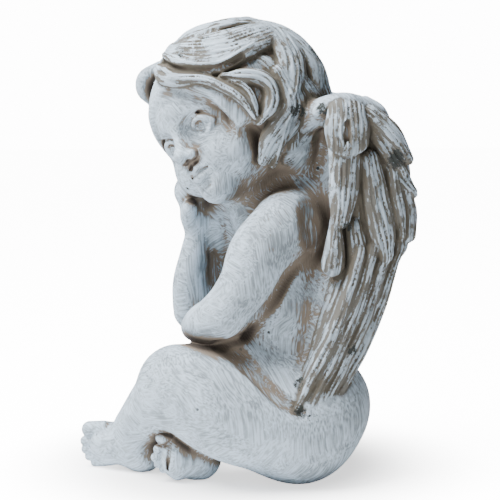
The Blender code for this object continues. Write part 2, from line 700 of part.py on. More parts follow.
def build_cherub():
    """The figurine as one named object, standing on z = 0 over the origin."""
    clay = shape_figure()
    lump = clay.lump()
    mesh = evaluated_mesh(lump)
    bpy.data.objects.remove(lump)
    clear_islands(mesh)
    clay.fit(mesh)
    mesh = thinned(mesh)
    cut_seat(mesh)
    settle(mesh)
    mesh.materials.append(whitewash())
    mesh.shade_smooth()
    cherub = bpy.data.objects.new("cherub", mesh)
    bpy.context.collection.objects.link(cherub)
    return cherub


def settle(mesh):
    """Centre the figure over the origin on z = 0 and bring it to its real height."""
    corners = np.empty(len(mesh.vertices) * 3)
    mesh.vertices.foreach_get("co", corners)
    corners = corners.reshape(-1, 3)
    low, high = corners.min(axis=0), corners.max(axis=0)
    middle = (low + high) / 2.0
    size = HEIGHT / (high[2] - low[2])
    mesh.transform(Matrix.Scale(size, 4) @ Matrix.Translation((-middle[0], -middle[1], -low[2])))


for leftover in list(bpy.data.objects):
    bpy.data.objects.remove(leftover)
build_cherub()
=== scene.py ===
"""Looks of the seated cherub figurine: the finely carved casting, its worn whitewash and a plain studio.

The casting is modelled as clay: masses pressed together and hollows pressed in, each with a signed
distance. All lengths of the clay are shares of the figure's height, in units of one 210th of it, which is
close to a millimetre. The figure faces -Y and its left side is +X. Sizes of what comes in pairs are given
for the left side.
"""
import logging
import math
from abc import ABC, abstractmethod
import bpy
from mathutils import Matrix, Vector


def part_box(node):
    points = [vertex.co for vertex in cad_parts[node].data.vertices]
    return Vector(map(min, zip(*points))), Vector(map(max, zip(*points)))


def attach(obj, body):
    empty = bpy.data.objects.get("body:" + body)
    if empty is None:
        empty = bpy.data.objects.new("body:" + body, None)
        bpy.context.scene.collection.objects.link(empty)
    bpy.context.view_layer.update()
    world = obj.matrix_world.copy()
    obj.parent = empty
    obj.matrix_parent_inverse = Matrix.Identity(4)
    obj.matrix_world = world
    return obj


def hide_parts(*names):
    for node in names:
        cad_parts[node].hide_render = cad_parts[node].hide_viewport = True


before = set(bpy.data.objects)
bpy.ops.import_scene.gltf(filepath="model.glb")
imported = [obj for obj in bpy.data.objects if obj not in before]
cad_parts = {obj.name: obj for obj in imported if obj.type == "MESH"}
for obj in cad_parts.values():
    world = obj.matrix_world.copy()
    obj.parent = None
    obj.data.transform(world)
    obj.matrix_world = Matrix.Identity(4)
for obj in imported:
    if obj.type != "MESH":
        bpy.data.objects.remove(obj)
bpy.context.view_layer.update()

from concurrent.futures import ThreadPoolExecutor
from dataclasses import dataclass, field
from enum import Enum
from typing import Callable, Sequence

import bmesh
import bpy
import numpy as np
from mathutils import Euler, Matrix, Vector

log = logging.getLogger("cherub")

FAR = 1.0e3
SMALLEST = 1.0e-6
SIDES = (-1, 1)
FINE_GRAIN = 0.66
Station = Sequence[float]
Place = tuple[float, float, float]
Oval = tuple[Place, Place]
Path = tuple[Station, ...]


# Curves and distances

def smooth_path(points: Sequence[Station], steps: int) -> np.ndarray:
    """Rows along a curve through the given points.

    Args:
        points: places on the curve, any number of values each.
        steps: how many rows are wanted.

    Returns:
        One row of values for each step.
    """
    knots = np.array(points, dtype=float)
    count = len(knots)
    if count < 3:
        mix = np.linspace(0.0, 1.0, steps)[:, None]
        return knots[0] * (1.0 - mix) + knots[-1] * mix
    ends = np.vstack([2 * knots[0] - knots[1], knots, 2 * knots[-1] - knots[-2]])
    rows = []
    for place in np.linspace(0.0, count - 1.0, steps):
        leg = min(int(place), count - 2)
        t = place - leg
        a, b, c, d = ends[leg:leg + 4]
        rows.append(0.5 * (2 * b + (c - a) * t + (2 * a - 5 * b + 4 * c - d) * t ** 2
                           + (3 * b - a - 3 * c + d) * t ** 3))
    return np.array(rows)


def on_side(side: int, path: Sequence[Station]) -> list[Station]:
    """Stations given for the left, on either side."""
    return [(side * row[0], *row[1:]) for row in path]


def ellipsoid_distance(local: np.ndarray, radii: np.ndarray) -> np.ndarray:
    """Distance to an ellipsoid's surface, close to exact near it.

    Args:
        local: points in the ellipsoid's own axes.
        radii: its three radii, or a row of them for each point.

    Returns:
        Signed distance of each point, negative inside.
    """
    scaled = np.sqrt(np.sum((local / radii) ** 2, axis=1))
    slope = np.sqrt(np.sum((local / radii ** 2) ** 2, axis=1))
    return scaled * (scaled - 1.0) / np.maximum(slope, SMALLEST)


class Spine:
    """A smooth curve in short straight legs, with sizes along it."""

    def __init__(self, stations: Sequence[Station], steps: int) -> None:
        """Lay the curve through its stations in a number of steps."""
        self.rows = smooth_path(stations, steps).astype(np.float32)
        self.starts = self.rows[:-1, :3]
        self.legs = self.rows[1:, :3] - self.starts
        self.squares = np.maximum(np.sum(self.legs ** 2, axis=1), SMALLEST)
        lengths = np.sqrt(self.squares)
        self.travelled = np.concatenate([[0.0], np.cumsum(lengths)]).astype(np.float32)

    def offsets(self, points: np.ndarray) -> tuple[np.ndarray, np.ndarray]:
        """Where each point lies beside each leg.

        Args:
            points: places, one row each.

        Returns:
            Shares along each leg, and the ways from each leg to each point.
        """
        away = points[:, None, :] - self.starts[None]
        share = np.clip(np.einsum("nmk,mk->nm", away, self.legs) / self.squares, 0.0, 1.0)
        away -= share[..., None] * self.legs[None]
        return share, away

    def box(self, reach: float) -> tuple[np.ndarray, np.ndarray]:
        """Lowest and highest corner of the curve with a reach round it."""
        places = self.rows[:, :3]
        return places.min(axis=0) - reach, places.max(axis=0) + reach


# Shapes of clay

class Shape(ABC):
    """A mass or hollow of clay with its bounds."""

    low: np.ndarray
    high: np.ndarray

    @abstractmethod
    def distance(self, points: np.ndarray) -> np.ndarray:
        """Signed distance of each point to the shape."""

    def comb(self, points: np.ndarray) -> np.ndarray | None:
        """Place across and along the shape's own run at each point, if it has one."""
        return None


class Ball(Shape):
    """An ellipsoid of clay."""

    def __init__(self, centre: Sequence[float], radii: Sequence[float], turn: Matrix | None = None) -> None:
        """Place the ellipsoid, its axes turned if a turn is given."""
        self.centre = np.array(centre, dtype=np.float32)
        self.radii = np.array(radii, dtype=np.float32)
        self.turn = np.array(turn if turn is not None else Matrix.Identity(3), dtype=np.float32)
        reach = np.sqrt(((self.turn * self.radii) ** 2).sum(axis=1))
        self.low = self.centre - reach
        self.high = self.centre + reach

    def distance(self, points: np.ndarray) -> np.ndarray:
        """Signed distance of each point."""
        return ellipsoid_distance((points - self.centre) @ self.turn, self.radii)


class Limb(Shape):
    """A round limb along stations of x, y, z and radius."""

    def __init__(self, stations: Sequence[Station], steps: int = 14) -> None:
        """Lay the limb through its stations in a number of steps."""
        self.spine = Spine(stations, steps)
        self.radii = self.spine.rows[:, 3]
        self.low, self.high = self.spine.box(float(self.radii.max()))

    def distance(self, points: np.ndarray) -> np.ndarray:
        """Signed distance of each point."""
        share, away = self.spine.offsets(points)
        radius = self.radii[:-1] + share * (self.radii[1:] - self.radii[:-1])
        return (np.sqrt(np.sum(away ** 2, axis=2)) - radius).min(axis=1)


@dataclass(frozen=True)
class Combing:
    """Grooves that run along a lock or feather.

    Attributes:
        grooves: how many run side by side over its width.
        depth: how deep they are.
        phase: where across the first one lies.
        wave: how far they wander across, as a share of their spacing.
        flaking: how much of the wash has come off them, from 0 to 1.
        both_faces: whether the other face is combed too.
    """

    grooves: float = 3.0
    depth: float = 0.7
    phase: float = 0.0
    wave: float = 0.35
    flaking: float = 1.0
    both_faces: bool = False

    def height(self, across: np.ndarray, along: np.ndarray) -> np.ndarray:
        """Relief of the combed face.

        Args:
            across: places over the width, from -1 to 1.
            along: places along the run.

        Returns:
            How far the face stands out at each place, 0 on the ridges and less in the grooves.
        """
        wander = self.wave * (np.sin(along * 0.19 + self.phase * 2.3)
                              + 0.6 * np.sin(along * 0.47 + self.phase))
        ridge = np.abs(np.sin(0.5 * math.pi * self.grooves * across + wander + self.phase))
        strength = 0.75 + 0.25 * np.sin(along * 0.31 + across * 2.0 + self.phase * 1.7)
        return self.depth * strength * (ridge - 1.0) * np.clip(1.25 - np.abs(across), 0.0, 1.0)


class Ribbon(Shape):
    """A flat lock or feather along stations of x, y, z, half width and half thickness."""

    def __init__(self, stations: Sequence[Station], facing: Callable[[Vector], Vector],
                 combing: Combing | None = None, steps: int = 20) -> None:
        """Lay the ribbon through its stations.

        Args:
            stations: its places and sizes.
            facing: gives the way its face looks at a place.
            combing: its grooves, if it has any.
            steps: how many rows it is laid in.
        """
        self.spine = Spine(stations, steps)
        self.combing = combing
        self.frames = self._frames(facing)
        self.low, self.high = self.spine.box(float(self.spine.rows[:, 3:5].max()))

    def _frames(self, facing: Callable[[Vector], Vector]) -> np.ndarray:
        """Axes at each row of the spine.

        Args:
            facing: gives the way the face looks at a place.

        Returns:
            The ways to the side, out of the face and along, as rows.
        """
        rows = self.spine.rows
        last = len(rows) - 1
        frames = []
        for k in range(last + 1):
            along = Vector((rows[min(k + 1, last), :3] - rows[max(k - 1, 0), :3]).tolist()).normalized()
            face = facing(Vector(rows[k, :3].tolist()))
            side = along.cross(face).normalized()
            frames.append([side, side.cross(along), along])
        return np.array(frames, dtype=np.float32)

    def _local(self, points: np.ndarray) -> tuple[np.ndarray, np.ndarray, np.ndarray]:
        """Each point as seen from the nearest place on the spine.

        Args:
            points: places, one row each.

        Returns:
            The points in the axes there, the half sizes there, and the length of the run up to there.
        """
        share, away = self.spine.offsets(points)
        pick = np.sum(away ** 2, axis=2).argmin(axis=1)
        rows = np.arange(len(points))
        mix = share[rows, pick][:, None]
        sizes = self.spine.rows[pick, 3:5] * (1.0 - mix) + self.spine.rows[pick + 1, 3:5] * mix
        axes = self.frames[pick] * (1.0 - mix[..., None]) + self.frames[pick + 1] * mix[..., None]
        local = np.einsum("nk,njk->nj", away[rows, pick], axes)
        run = self.spine.travelled
        along = run[pick] + mix[:, 0] * (run[pick + 1] - run[pick])
        return local, sizes, along

    def distance(self, points: np.ndarray) -> np.ndarray:
        """Signed distance of each point, with the combed grooves on the faces that have them.

        Args:
            points: places, one row each.

        Returns:
            Distance of each point, negative inside.
        """
        local, sizes, along = self._local(points)
        radii = np.column_stack([sizes[:, 0], sizes[:, 1], sizes[:, 1] * 1.5])
        gap = ellipsoid_distance(local, radii)
        if self.combing is None:
            return gap
        relief = self.combing.height(np.clip(local[:, 0] / sizes[:, 0], -1.0, 1.0), along)
        out = np.abs(local[:, 1]) if self.combing.both_faces else local[:, 1]
        return gap - relief * np.clip(out / sizes[:, 1] * 2.0, 0.0, 1.0)

    def comb(self, points: np.ndarray) -> np.ndarray:
        """Place across and along the ribbon at each point."""
        local, _, along = self._local(points)
        return np.column_stack([local[:, 0], along])


# The clay as a whole

class Press(Enum):
    """What a shape does to the clay."""

    ADD = "add"
    CUT = "cut"


@dataclass(frozen=True)
class Step:
    """One shape pressed on or in, with the width of its soft join."""

    shape: Shape
    blend: float
    press: Press


@dataclass
class Clay:
    """Masses of clay pressed together, and hollows pressed into them, in the order given.

    Attributes:
        seat: height of the flat that the underside is cut to.
        block: edge of the cubes that points are handled in.
    """

    seat: float
    block: float = 16.0
    steps: list[Step] = field(default_factory=list)

    def add(self, shape: Shape, blend: float = 2.0) -> None:
        """Press a shape on."""
        self.steps.append(Step(shape, blend, Press.ADD))

    def cut(self, shape: Shape, blend: float = 1.0) -> None:
        """Press the hollow of a shape in."""
        self.steps.append(Step(shape, blend, Press.CUT))

    def box(self) -> tuple[np.ndarray, np.ndarray]:
        """Lowest and highest corner of all that is pressed on."""
        solid = [step.shape for step in self.steps if step.press is Press.ADD]
        low = np.min([shape.low for shape in solid], axis=0)
        high = np.max([shape.high for shape in solid], axis=0)
        return low, high

    def _near(self, points: np.ndarray, reach: float) -> list[Step]:
        """The steps that may shape the clay round some points.

        Args:
            points: places that lie close together.
            reach: how far away a shape still counts.

        Returns:
            The steps, in the order given.
        """
        low, high = points.min(axis=0), points.max(axis=0)
        return [step for step in self.steps
                if np.all(step.shape.low - step.blend - reach < high)
                and np.all(step.shape.high + step.blend + reach > low)]

    def _block_distance(self, points: np.ndarray, reach: float) -> np.ndarray:
        """Signed distance of points that lie close together.

        Args:
            points: places, one row each.
            reach: how far away a shape still counts.

        Returns:
            Distance of each point, negative inside.
        """
        total = np.full(len(points), FAR, dtype=np.float32)
        for step in self._near(points, reach):
            new = step.shape.distance(points)
            if step.press is Press.CUT:
                soft = np.maximum(step.blend - np.abs(total + new), 0.0)
                total = np.maximum(total, -new) + soft * soft * (0.25 / step.blend)
            else:
                soft = np.maximum(step.blend - np.abs(total - new), 0.0)
                total = np.minimum(total, new) - soft * soft * (0.25 / step.blend)
        return np.maximum(total, self.seat - points[:, 2])

    def _by_block(self, points: np.ndarray) -> list[np.ndarray]:
        """The points sorted into cubes of space.

        Args:
            points: places, one row each.

        Returns:
            Indices of the points in each cube that holds any.
        """
        shift, span = 1000, 4096
        cell = np.floor(points / self.block).astype(np.int64) + shift
        key = (cell[:, 0] * span + cell[:, 1]) * span + cell[:, 2]
        order = np.argsort(key, kind="stable")
        cuts = np.flatnonzero(np.diff(key[order])) + 1
        return np.split(order, cuts)

    def distance(self, points: np.ndarray, reach: float = 3.0) -> np.ndarray:
        """Signed distance of any points to the surface.

        Args:
            points: places, one row each.
            reach: how far away a shape still counts.

        Returns:
            Distance of each point, negative inside.
        """
        points = np.asarray(points, dtype=np.float32)
        groups = self._by_block(points)
        result = np.empty(len(points), dtype=np.float32)

        def fill(group: np.ndarray) -> None:
            """Work out the distances in one cube."""
            result[group] = self._block_distance(points[group], reach)

        with ThreadPoolExecutor() as pool:
            list(pool.map(fill, groups))
        return result

    def combing(self, points: np.ndarray, slack: float = 0.9) -> tuple[np.ndarray, np.ndarray]:
        """Place on the lock or feather that forms the surface at each point.

        Args:
            points: places on the surface.
            slack: how far a lock's own surface may lie below it.

        Returns:
            Rows of across, along and a number for the lock, and how much it has flaked, 0 off all locks.
        """
        points = np.asarray(points, dtype=np.float32)
        groups = self._by_block(points)
        rows = np.zeros((len(points), 3), dtype=np.float32)
        found = np.zeros(len(points), dtype=np.float32)

        def fill(group: np.ndarray) -> None:
            """Find the locks in one cube.

            Args:
                group: indices of the points in it.
            """
            here = points[group]
            best = np.full(len(here), slack, dtype=np.float32)
            for step in self._near(here, 0.0):
                if not isinstance(step.shape, Ribbon) or step.shape.combing is None:
                    continue
                gap = np.abs(step.shape.distance(here))
                mine = np.flatnonzero(gap < best)
                if len(mine) == 0:
                    continue
                best[mine] = gap[mine]
                rows[group[mine], :2] = step.shape.comb(here[mine])
                rows[group[mine], 2] = self.steps.index(step)
                found[group[mine]] = step.shape.combing.flaking

        with ThreadPoolExecutor() as pool:
            list(pool.map(fill, groups))
        return rows, found


@dataclass
class SurfaceNet:
    """The surface of the clay as one closed mesh of small quads.

    Attributes:
        clay: what the surface is taken from.
        grain: edge of the finest cells.
        coarse: how many fine cells make a coarse one, which is searched first.
        reach: how far from a coarse corner the surface may pass through its cells.
    """

    clay: Clay
    grain: float
    coarse: int = 4
    reach: float = 4.5

    def _lattice(self) -> tuple[np.ndarray, np.ndarray]:
        """Lowest corner and numbers of coarse cells."""
        low, high = self.clay.box()
        low = low - 2.0 * self.grain
        cells = np.ceil((high + 2.0 * self.grain - low) / (self.grain * self.coarse)).astype(int)
        return low, cells

    def _samples(self, low: np.ndarray, cells: np.ndarray) -> np.ndarray:
        """Distances at all fine corners, true near the surface and only roughly right elsewhere.

        Args:
            low: the lowest corner.
            cells: how many coarse cells there are each way.

        Returns:
            The distances in a block of three dimensions.
        """
        step = self.grain * self.coarse
        corner = np.indices(cells + 1).reshape(3, -1).T
        rough = self.clay.distance(low + corner * step, self.reach + 1.0).reshape(cells + 1)
        near = np.full(cells, False)
        for shift in np.ndindex(2, 2, 2):
            part = tuple(slice(s, s + n) for s, n in zip(shift, cells))
            near |= np.abs(rough[part]) < self.reach
        values = np.full(cells * self.coarse + 1, FAR, dtype=np.float32)
        inner = rough[:-1, :-1, :-1] < 0.0
        wanted = np.full(values.shape, False)
        spread = self._finer(near)
        values[:-1, :-1, :-1][self._finer(inner)] = -FAR
        for shift in np.ndindex(2, 2, 2):
            part = tuple(slice(s, s + n) for s, n in zip(shift, spread.shape))
            wanted[part] |= spread
        index = np.argwhere(wanted)
        values[wanted] = self.clay.distance(low + index * self.grain)
        return values

    def _finer(self, cells: np.ndarray) -> np.ndarray:
        """What holds for coarse cells, told for all fine ones."""
        return cells.repeat(self.coarse, 0).repeat(self.coarse, 1).repeat(self.coarse, 2)

    @staticmethod
    def _crossed(values: np.ndarray, axis: int) -> tuple[np.ndarray, np.ndarray]:
        """Find the edges along one axis that pass through the surface.

        Args:
            values: the distances at all fine corners.
            axis: which way the edges run.

        Returns:
            Numbers of the four cells round each edge, in order, and where the edge meets the surface.
        """
        inside = values < 0.0
        head = [slice(None)] * 3
        tail = [slice(None)] * 3
        head[axis] = slice(0, -1)
        tail[axis] = slice(1, None)
        start = np.argwhere(inside[tuple(head)] != inside[tuple(tail)])
        start = start[np.all(start > 0, axis=1)]
        end = start.copy()
        end[:, axis] += 1
        at_start = values[tuple(start.T)]
        at_end = values[tuple(end.T)]
        place = start.astype(np.float64)
        place[:, axis] += at_start / (at_start - at_end)
        one, two = np.zeros(3, int), np.zeros(3, int)
        one[(axis + 1) % 3] = 1
        two[(axis + 2) % 3] = 1
        around = [start - one - two, start - two, start, start - one]
        strides = np.array([values.shape[1] * values.shape[2], values.shape[2], 1])
        ids = np.column_stack([cell @ strides for cell in around])
        flip = at_start > 0.0
        ids[flip] = ids[flip][:, ::-1]
        return ids, place

    def mesh(self) -> tuple[np.ndarray, np.ndarray]:
        """Corners and quads of the surface."""
        low, cells = self._lattice()
        values = self._samples(low, cells)
        found = [self._crossed(values, axis) for axis in range(3)]
        quads = np.vstack([ids for ids, _ in found])
        places = np.vstack([place.repeat(4, axis=0) for _, place in found])
        used, corner = np.unique(quads.ravel(), return_inverse=True)
        count = np.bincount(corner)
        middle = np.column_stack([np.bincount(corner, places[:, k]) / count for k in range(3)])
        return self._largest_shell(low + middle * self.grain, np.searchsorted(used, quads))

    @staticmethod
    def _largest_shell(corners: np.ndarray, faces: np.ndarray) -> tuple[np.ndarray, np.ndarray]:
        """Keep only the shell with the most corners.

        Args:
            corners: places, one row each.
            faces: quads of corner numbers.

        Returns:
            The corners and faces of that shell.
        """
        pairs = np.vstack([faces[:, [0, 1]], faces[:, [1, 2]], faces[:, [2, 3]], faces[:, [3, 0]]])
        label = np.arange(len(corners))
        while True:
            low = np.minimum(label[pairs[:, 0]], label[pairs[:, 1]])
            new = label.copy()
            np.minimum.at(new, pairs[:, 0], low)
            np.minimum.at(new, pairs[:, 1], low)
            new = new[new]
            if np.array_equal(new, label):
                break
            label = new
        keep = label == np.bincount(label).argmax()
        renumber = np.cumsum(keep) - 1
        return corners[keep], renumber[faces[keep[faces[:, 0]]]]


# The head and its hair

@dataclass
class Head:
    """The head's own axes: to its left, out of its face and up.

    Attributes:
        centre: middle of the skull.
        turn, nod, lean: how it is turned to the left, nods and leans to the right, in degrees.
    """

    centre: Vector = field(default_factory=lambda: Vector((-2.0, -8.5, 167.0)))
    turn: float = 37.0
    nod: float = 13.0
    lean: float = 27.0

    def __post_init__(self) -> None:
        """Work out the axes."""
        turn = Matrix.Rotation(math.radians(self.turn), 3, "Z")
        nod = Matrix.Rotation(math.radians(self.nod), 3, "X")
        lean = Matrix.Rotation(math.radians(-self.lean), 3, "Y")
        axes = turn @ nod @ lean
        self.axes = Matrix((axes.col[0], -axes.col[1], axes.col[2])).transposed()

    def place(self, left: float, front: float, up: float) -> Vector:
        """A place given in the head's own axes."""
        return self.centre + self.axes @ Vector((left, front, up))

    def ball(self, place: Sequence[float], radii: Sequence[float]) -> Ball:
        """An ellipsoid that lies along the head's axes."""
        return Ball(self.place(*place), radii, self.axes)

    def limb(self, stations: Sequence[Station], steps: int = 10) -> Limb:
        """A round limb given in the head's own axes."""
        return Limb([(*self.place(*row[:3]), row[3]) for row in stations], steps)


@dataclass
class Face:
    """A calm child's face, in the head's own axes.

    Attributes:
        head: the head it is on.
        skull, mask, brow, cheek, jaw, muzzle, chin: middle and radii of the masses.
        bridge: the ridge of the nose.
        tip, wing, nostril: middle and radii of the nose's parts.
        eye: middle of the eyeball.
        eyeball: the eyeball's radius.
        socket: middle and radii of its hollow.
        upper_lid, crease, lower_lid: angles over the eyeball, in degrees outwards and up.
        iris: middle of the iris over the eyeball and its radius, all in degrees.
        upper_lip, mouth, under_lip: cords from the left corner to the middle.
        lower_lip: middle and radii of the lower lip.
        philtrum: the furrow between nose and lip.
    """

    head: Head
    skull: Oval = ((0, -2, 2), (32, 33, 31))
    mask: Oval = ((0, 8, -12), (24.5, 21.5, 23))
    brow: Oval = ((0, 14, 9), (25, 20, 18))
    cheek: Oval = ((13.0, 18.0, -17.0), (13.0, 12.4, 12.4))
    jaw: Oval = ((0, 13, -21), (17, 15, 12))
    muzzle: Oval = ((0, 20.5, -18), (10, 11, 9))
    chin: Oval = ((0, 24.0, -29.0), (9.5, 8.5, 7.8))
    bridge: Path = ((0, 30, 0, 3.4), (0, 32.0, -5, 3.4), (0, 34.2, -9.5, 3.6))
    tip: Oval = ((0, 35.4, -10.6), (4.0, 3.6, 3.5))
    wing: Oval = ((4.1, 32.6, -11.8), (2.7, 3.1, 2.4))
    nostril: Oval = ((2.2, 34.8, -14.0), (1.0, 1.3, 0.8))
    eye: Place = (12.6, 21.8, -3.0)
    eyeball: float = 7.0
    socket: Oval = ((12.6, 32.4, -2.4), (8.6, 5.2, 5.4))
    upper_lid: Path = ((-56, -10), (-30, 18), (2, 30), (34, 22), (62, -4))
    crease: Path = ((-34, 32), (0, 46), (34, 38), (58, 16))
    lower_lid: Path = ((-56, -10), (-26, -30), (4, -39), (36, -29), (62, -4))
    iris: Place = (2, -3, 20)
    upper_lip: Path = ((7.0, 28.8, -20.2, 1.1), (3.2, 31.9, -18.2, 1.9), (0, 32.4, -18.7, 1.7))
    mouth: Path = ((7.4, 29.7, -20.2, 0.35), (3.2, 33.4, -20.2, 0.6), (0, 34.3, -20.6, 0.6))
    under_lip: Path = ((4.2, 31.9, -27.0, 0.8), (0, 33.2, -27.4, 1.0))
    lower_lip: Oval = ((0, 30.8, -22.7), (5.6, 3.5, 2.7))
    philtrum: Path = ((0, 34.6, -14.6, 0.7), (0, 33.9, -17.0, 0.9))

    def model(self, clay: Clay) -> None:
        """Press the face on.

        Args:
            clay: what it all is pressed on.
        """
        clay.add(self._oval(self.skull), 1.0)
        clay.add(self._oval(self.mask), 6)
        clay.add(self._oval(self.brow), 6)
        for side in SIDES:
            clay.add(self._oval(self.cheek, side), 5)
        for mass in (self.jaw, self.muzzle, self.chin):
            clay.add(self._oval(mass), 5)
        self._nose(clay)
        for side in SIDES:
            self._eye(clay, side)
        self._mouth(clay)

    def _oval(self, oval: Oval, side: int = 1) -> Ball:
        """A mass given for the left, on either side."""
        middle, radii = oval
        return self.head.ball((side * middle[0], *middle[1:]), radii)

    def _nose(self, clay: Clay) -> None:
        """The bridge, tip, wings and nostrils."""
        clay.add(self.head.limb(self.bridge), 4)
        clay.add(self._oval(self.tip), 2)
        for side in SIDES:
            clay.add(self._oval(self.wing, side), 1.4)
            clay.cut(self._oval(self.nostril, side), 0.8)

    def _on_eye(self, side: int, across: float, up: float, radius: float) -> Place:
        """A place round the eyeball's middle.

        Args:
            side: which eye, 1 for the left one.
            across, up: angles in degrees, outwards and up.
            radius: how far from the middle.

        Returns:
            The place in the head's own axes.
        """
        a, b = math.radians(across), math.radians(up)
        left = side * (self.eye[0] + radius * math.sin(a) * math.cos(b))
        return left, self.eye[1] + radius * math.cos(a) * math.cos(b), self.eye[2] + radius * math.sin(b)

    def _arc(self, side: int, angles: Path, radius: float, thick: float) -> Limb:
        """A round cord laid over the eyeball."""
        return self.head.limb([(*self._on_eye(side, a, b, radius), thick) for a, b in angles], 12)

    def _eye(self, clay: Clay, side: int) -> None:
        """Press on an eyeball with a ring for the iris, and lids with a crease over the upper one.

        Args:
            clay: what it is pressed on.
            side: which eye, 1 for the left one.
        """
        ball, size = self.head.ball, self.eyeball
        across, up, spread = self.iris
        clay.cut(self._oval(self.socket, side), 4)
        clay.add(ball((side * self.eye[0], *self.eye[1:]), (size,) * 3), 0.6)
        clay.add(self._arc(side, self.upper_lid, size + 0.5, 1.45), 0.7)
        clay.cut(self._arc(side, self.crease, size + 2.0, 0.6), 0.8)
        clay.add(self._arc(side, self.lower_lid, size + 0.2, 1.2), 0.8)
        turns = [k * math.pi / 4 for k in range(9)]
        ring = [(across + spread * math.cos(turn), up + spread * math.sin(turn)) for turn in turns]
        clay.cut(self._arc(side, ring, size + 0.1, 0.62), 0.4)
        clay.cut(ball(self._on_eye(side, 3, -3, size + 0.4), (1.5, 1.5, 1.5)), 0.4)

    def _bow(self, half: Path) -> Limb:
        """A cord across the middle of the face, from its left half."""
        return self.head.limb([*half, *on_side(-1, half[-2::-1])])

    def _mouth(self, clay: Clay) -> None:
        """Full closed lips and the line between them."""
        clay.add(self._bow(self.upper_lip), 1.4)
        clay.add(self._oval(self.lower_lip), 1.4)
        clay.cut(self._bow(self.mouth), 0.7)
        clay.cut(self._bow(self.under_lip), 2)
        clay.cut(self.head.limb(self.philtrum), 1.6)


@dataclass(frozen=True)
class Lock:
    """A lock of hair on the side of the head.

    Attributes:
        path: places of y and z along it.
        width, height: its half sizes.
        lift: how far its middle line stands off the cap.
        grooves: how many grooves are combed into it.
        shares: its width at each place, as shares of its width; thin at both ends if left out.
    """

    path: tuple[tuple[float, float], ...]
    width: float
    height: float
    lift: float = 0.5
    grooves: float = 3.0
    shares: tuple[float, ...] = ()


@dataclass(frozen=True)
class Fall:
    """Locks that fall side by side from the crown.

    Attributes:
        turns: where each one falls, in degrees round the head from its back.
        path: how far it has fallen at each station, in degrees from the crown.
        width, height: a lock's half sizes.
        lift: how far its middle line stands off the cap.
    """

    turns: Sequence[int]
    path: tuple[float, ...]
    width: float
    height: float
    lift: float = 0.5


